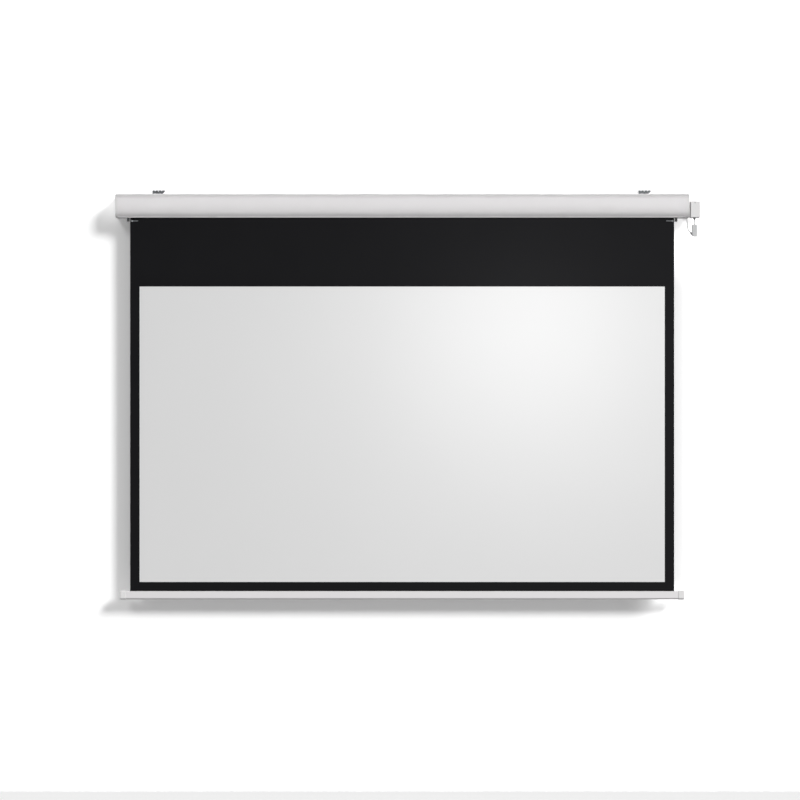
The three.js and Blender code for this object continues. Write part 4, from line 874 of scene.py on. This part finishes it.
# %% [markdown]
# ## Light
# The world gives even light, more from above than from below, so that undersides stay darker. A
# soft key light comes from the upper right, far away, and a wide lamp in front fills what it leaves
# dark. The case's rounded front has two long strip lamps of its own. One is close by and a little
# above its middle, so the front is brightest there and darkens towards the roof and the slot. The
# other stands low and looks up, and keeps the lip from going too dark. The wall has lights of its
# own, too. A steeper key throws the screen's soft shadow on it, a weaker one from the upper left
# keeps that shadow pale beside the cloth and dark under the bar, and three narrow spots lift it at
# the ends of the case and of the bar. A small lamp near the cloth makes the bright pool on its
# right half, and a weak light from behind is there for views of the back. Light linking gives each
# lamp its own surfaces, as flags do in a studio.

# %% Light from all around
bpy.context.scene.view_settings.view_transform = "Standard"
world = bpy.data.worlds.new("studio")
bpy.context.scene.world = world
world.use_nodes = True
sky = world.node_tree
sky.nodes.clear()
from_below, from_above = 0.16, 0.44
white = (1, 1, 1, 1)
ray = add(sky, "ShaderNodeLightPath")
first = add(sky, "ShaderNodeMath", {
    0: ray.outputs["Is Camera Ray"], 1: ray.outputs["Is Glossy Ray"]}, operation="MAXIMUM")
either = add(sky, "ShaderNodeMath", {
    0: first.outputs["Value"], 1: ray.outputs["Is Transmission Ray"]}, operation="MAXIMUM")
way = add(sky, "ShaderNodeTexCoord")
upward = add(sky, "ShaderNodeSeparateXYZ", {"Vector": way.outputs["Generated"]})
graded = add(sky, "ShaderNodeMapRange", {
    "Value": upward.outputs["Z"], "From Min": -1.0, "From Max": 1.0, "To Min": from_below,
    "To Max": from_above})
dim = add(sky, "ShaderNodeBackground", {"Color": white, "Strength": graded.outputs["Result"]})
bright = add(sky, "ShaderNodeBackground", {"Color": white, "Strength": 1.0})
chosen = add(sky, "ShaderNodeMixShader", {
    0: either.outputs["Value"], 1: dim.outputs["Background"], 2: bright.outputs["Background"]})
add(sky, "ShaderNodeOutputWorld", {"Surface": chosen.outputs["Shader"]})
print("world gives", from_below, "from below and", from_above, "from above")


# %% Kinds of light
def shine(name, kind, energy, place, turn, **settings):
    """A light of this kind, with its energy, its place, its rotation and its own settings."""
    data = bpy.data.lights.new(name, kind)
    for setting, value in settings.items():
        setattr(data, setting, value)
    data.energy = energy
    thing = put(name, data)
    thing.location = place
    thing.rotation_euler = turn
    thing.visible_camera = kind != "AREA"
    return thing


def facing(direction):
    """The rotation that makes a light shine in this direction."""
    return Vector(direction).to_track_quat("-Z", "Y").to_euler()


# Each light's level is what it gives to a surface that faces it: 1 shows a colour as written.
def lamp(name, place, target, size, level):
    """A round lamp that shines on its target."""
    way = Vector(target) - Vector(place)
    energy = level * math.pi * math.pi * way.length * way.length
    return shine(name, "AREA", energy, place, facing(way), shape="DISK", size=size)


def sun(name, towards, level, softness=0.3):
    """A soft light from very far away, whose rays run in this direction."""
    return shine(name, "SUN", level * math.pi, (0, 0, 0), facing(towards), angle=softness)


def strip(name, place, length, level, distance, turn=0.0, tilt=0.0, height=0.02):
    """A long narrow lamp along X, for what is at this distance, tilted up if wished."""
    energy = level * 2 * math.pi * length * distance
    return shine(name, "AREA", energy, place, (math.pi / 2 + tilt, 0, turn), shape="RECTANGLE",
                 size=length, size_y=height)


def spot(name, place, target, cone, level, softness=0.05):
    """A lamp with a narrow, soft-edged cone."""
    way = Vector(target) - Vector(place)
    energy = level * 4 * math.pi * math.pi * way.length * way.length
    return shine(name, "SPOT", energy, place, facing(way), spot_size=cone, spot_blend=1.0,
                 shadow_soft_size=softness)


# %% Place the lights
key = sun("key", towards=(-1.08, 1.0, -0.45), level=0.68)
wall_key = sun("wall key", towards=(-1.08, 1.0, -0.9), level=0.88)
wall_side = sun("wall side", towards=(0.6, 1.0, -0.9), level=0.17)
fill = lamp("fill", place=(2.5, -9.0, -0.7), target=(0, 0, -0.7), size=5.0, level=0.26)
case_strip = strip("case strip", place=(0.35, -0.2, 0.018), length=3.2, level=0.69,
                   distance=0.108, turn=0.0046)
lip_strip = strip("lip strip", place=(0.35, -0.17, -0.3), length=3.2, level=0.12,
                  distance=0.3, tilt=1.2)
back = sun("back", towards=(0, -1.0, -1.0), level=0.5)
lift = spot("lift", place=(1.25, -0.6, -0.6), target=(1.07, 0, -0.08), cone=0.45, level=0.68)
lift_left = spot("lift left", place=(-1.35, -0.45, 0.12), target=(-1.125, 0, 0.02), cone=0.29,
                 level=0.42)
lift_bar = spot("lift bar", place=(1.03, -0.5, -2.0), target=(1.015, 0, -1.55), cone=0.35,
                level=0.5)
pool = lamp("pool", place=(0.5, -0.98, -0.42), target=(0.5, -0.065, -0.42), size=0.3, level=0.42)
wall_lights = (wall_key, wall_side, lift, lift_left, lift_bar)
print("the wall's own lights:", ", ".join(light.name for light in wall_lights))


# %% Give each light its surfaces
def receivers(name, things, state):
    """A light-linking collection: a light reaches only these things, or all things but these."""
    group = bpy.data.collections.new(name)
    for thing in things:
        group.objects.link(thing)
    for row in group.collection_objects:
        row.light_linking.link_state = state
    return group


case_front = [dressed[node] for node in (
    "case_profile", "front_panel", "slot_lip", "end_cap_left", "end_cap_right")]
receiver_pieces = [dressed[node] for node in (
    "receiver_neck", "receiver_box", "receiver_cover", "lead_socket", "lead_plug")]
receiver_pieces += [motor_lead, receiver_lead, sleeve, *grips]
for lights, state, things in (
        ((pool,), "INCLUDE", [cloth, coat]),
        ((key, fill), "EXCLUDE", [wall, *case_front]),
        ((back,), "EXCLUDE", [wall, floor]),
        ((case_strip, lip_strip), "INCLUDE", case_front),
        (wall_lights, "INCLUDE", [wall])):
    for light in lights:
        light.light_linking.receiver_collection = receivers(
            ("lit by " if state == "INCLUDE" else "not lit by ") + light.name, things, state)
wall_key.light_linking.blocker_collection = receivers(
    "throw no shadow on the wall", receiver_pieces, "EXCLUDE")
print(len(receiver_pieces), "pieces throw no shadow on the wall")

# %% Print the visual box
low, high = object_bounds()
print("visual box:", [round(v, 4) for v in (*low, *high)])
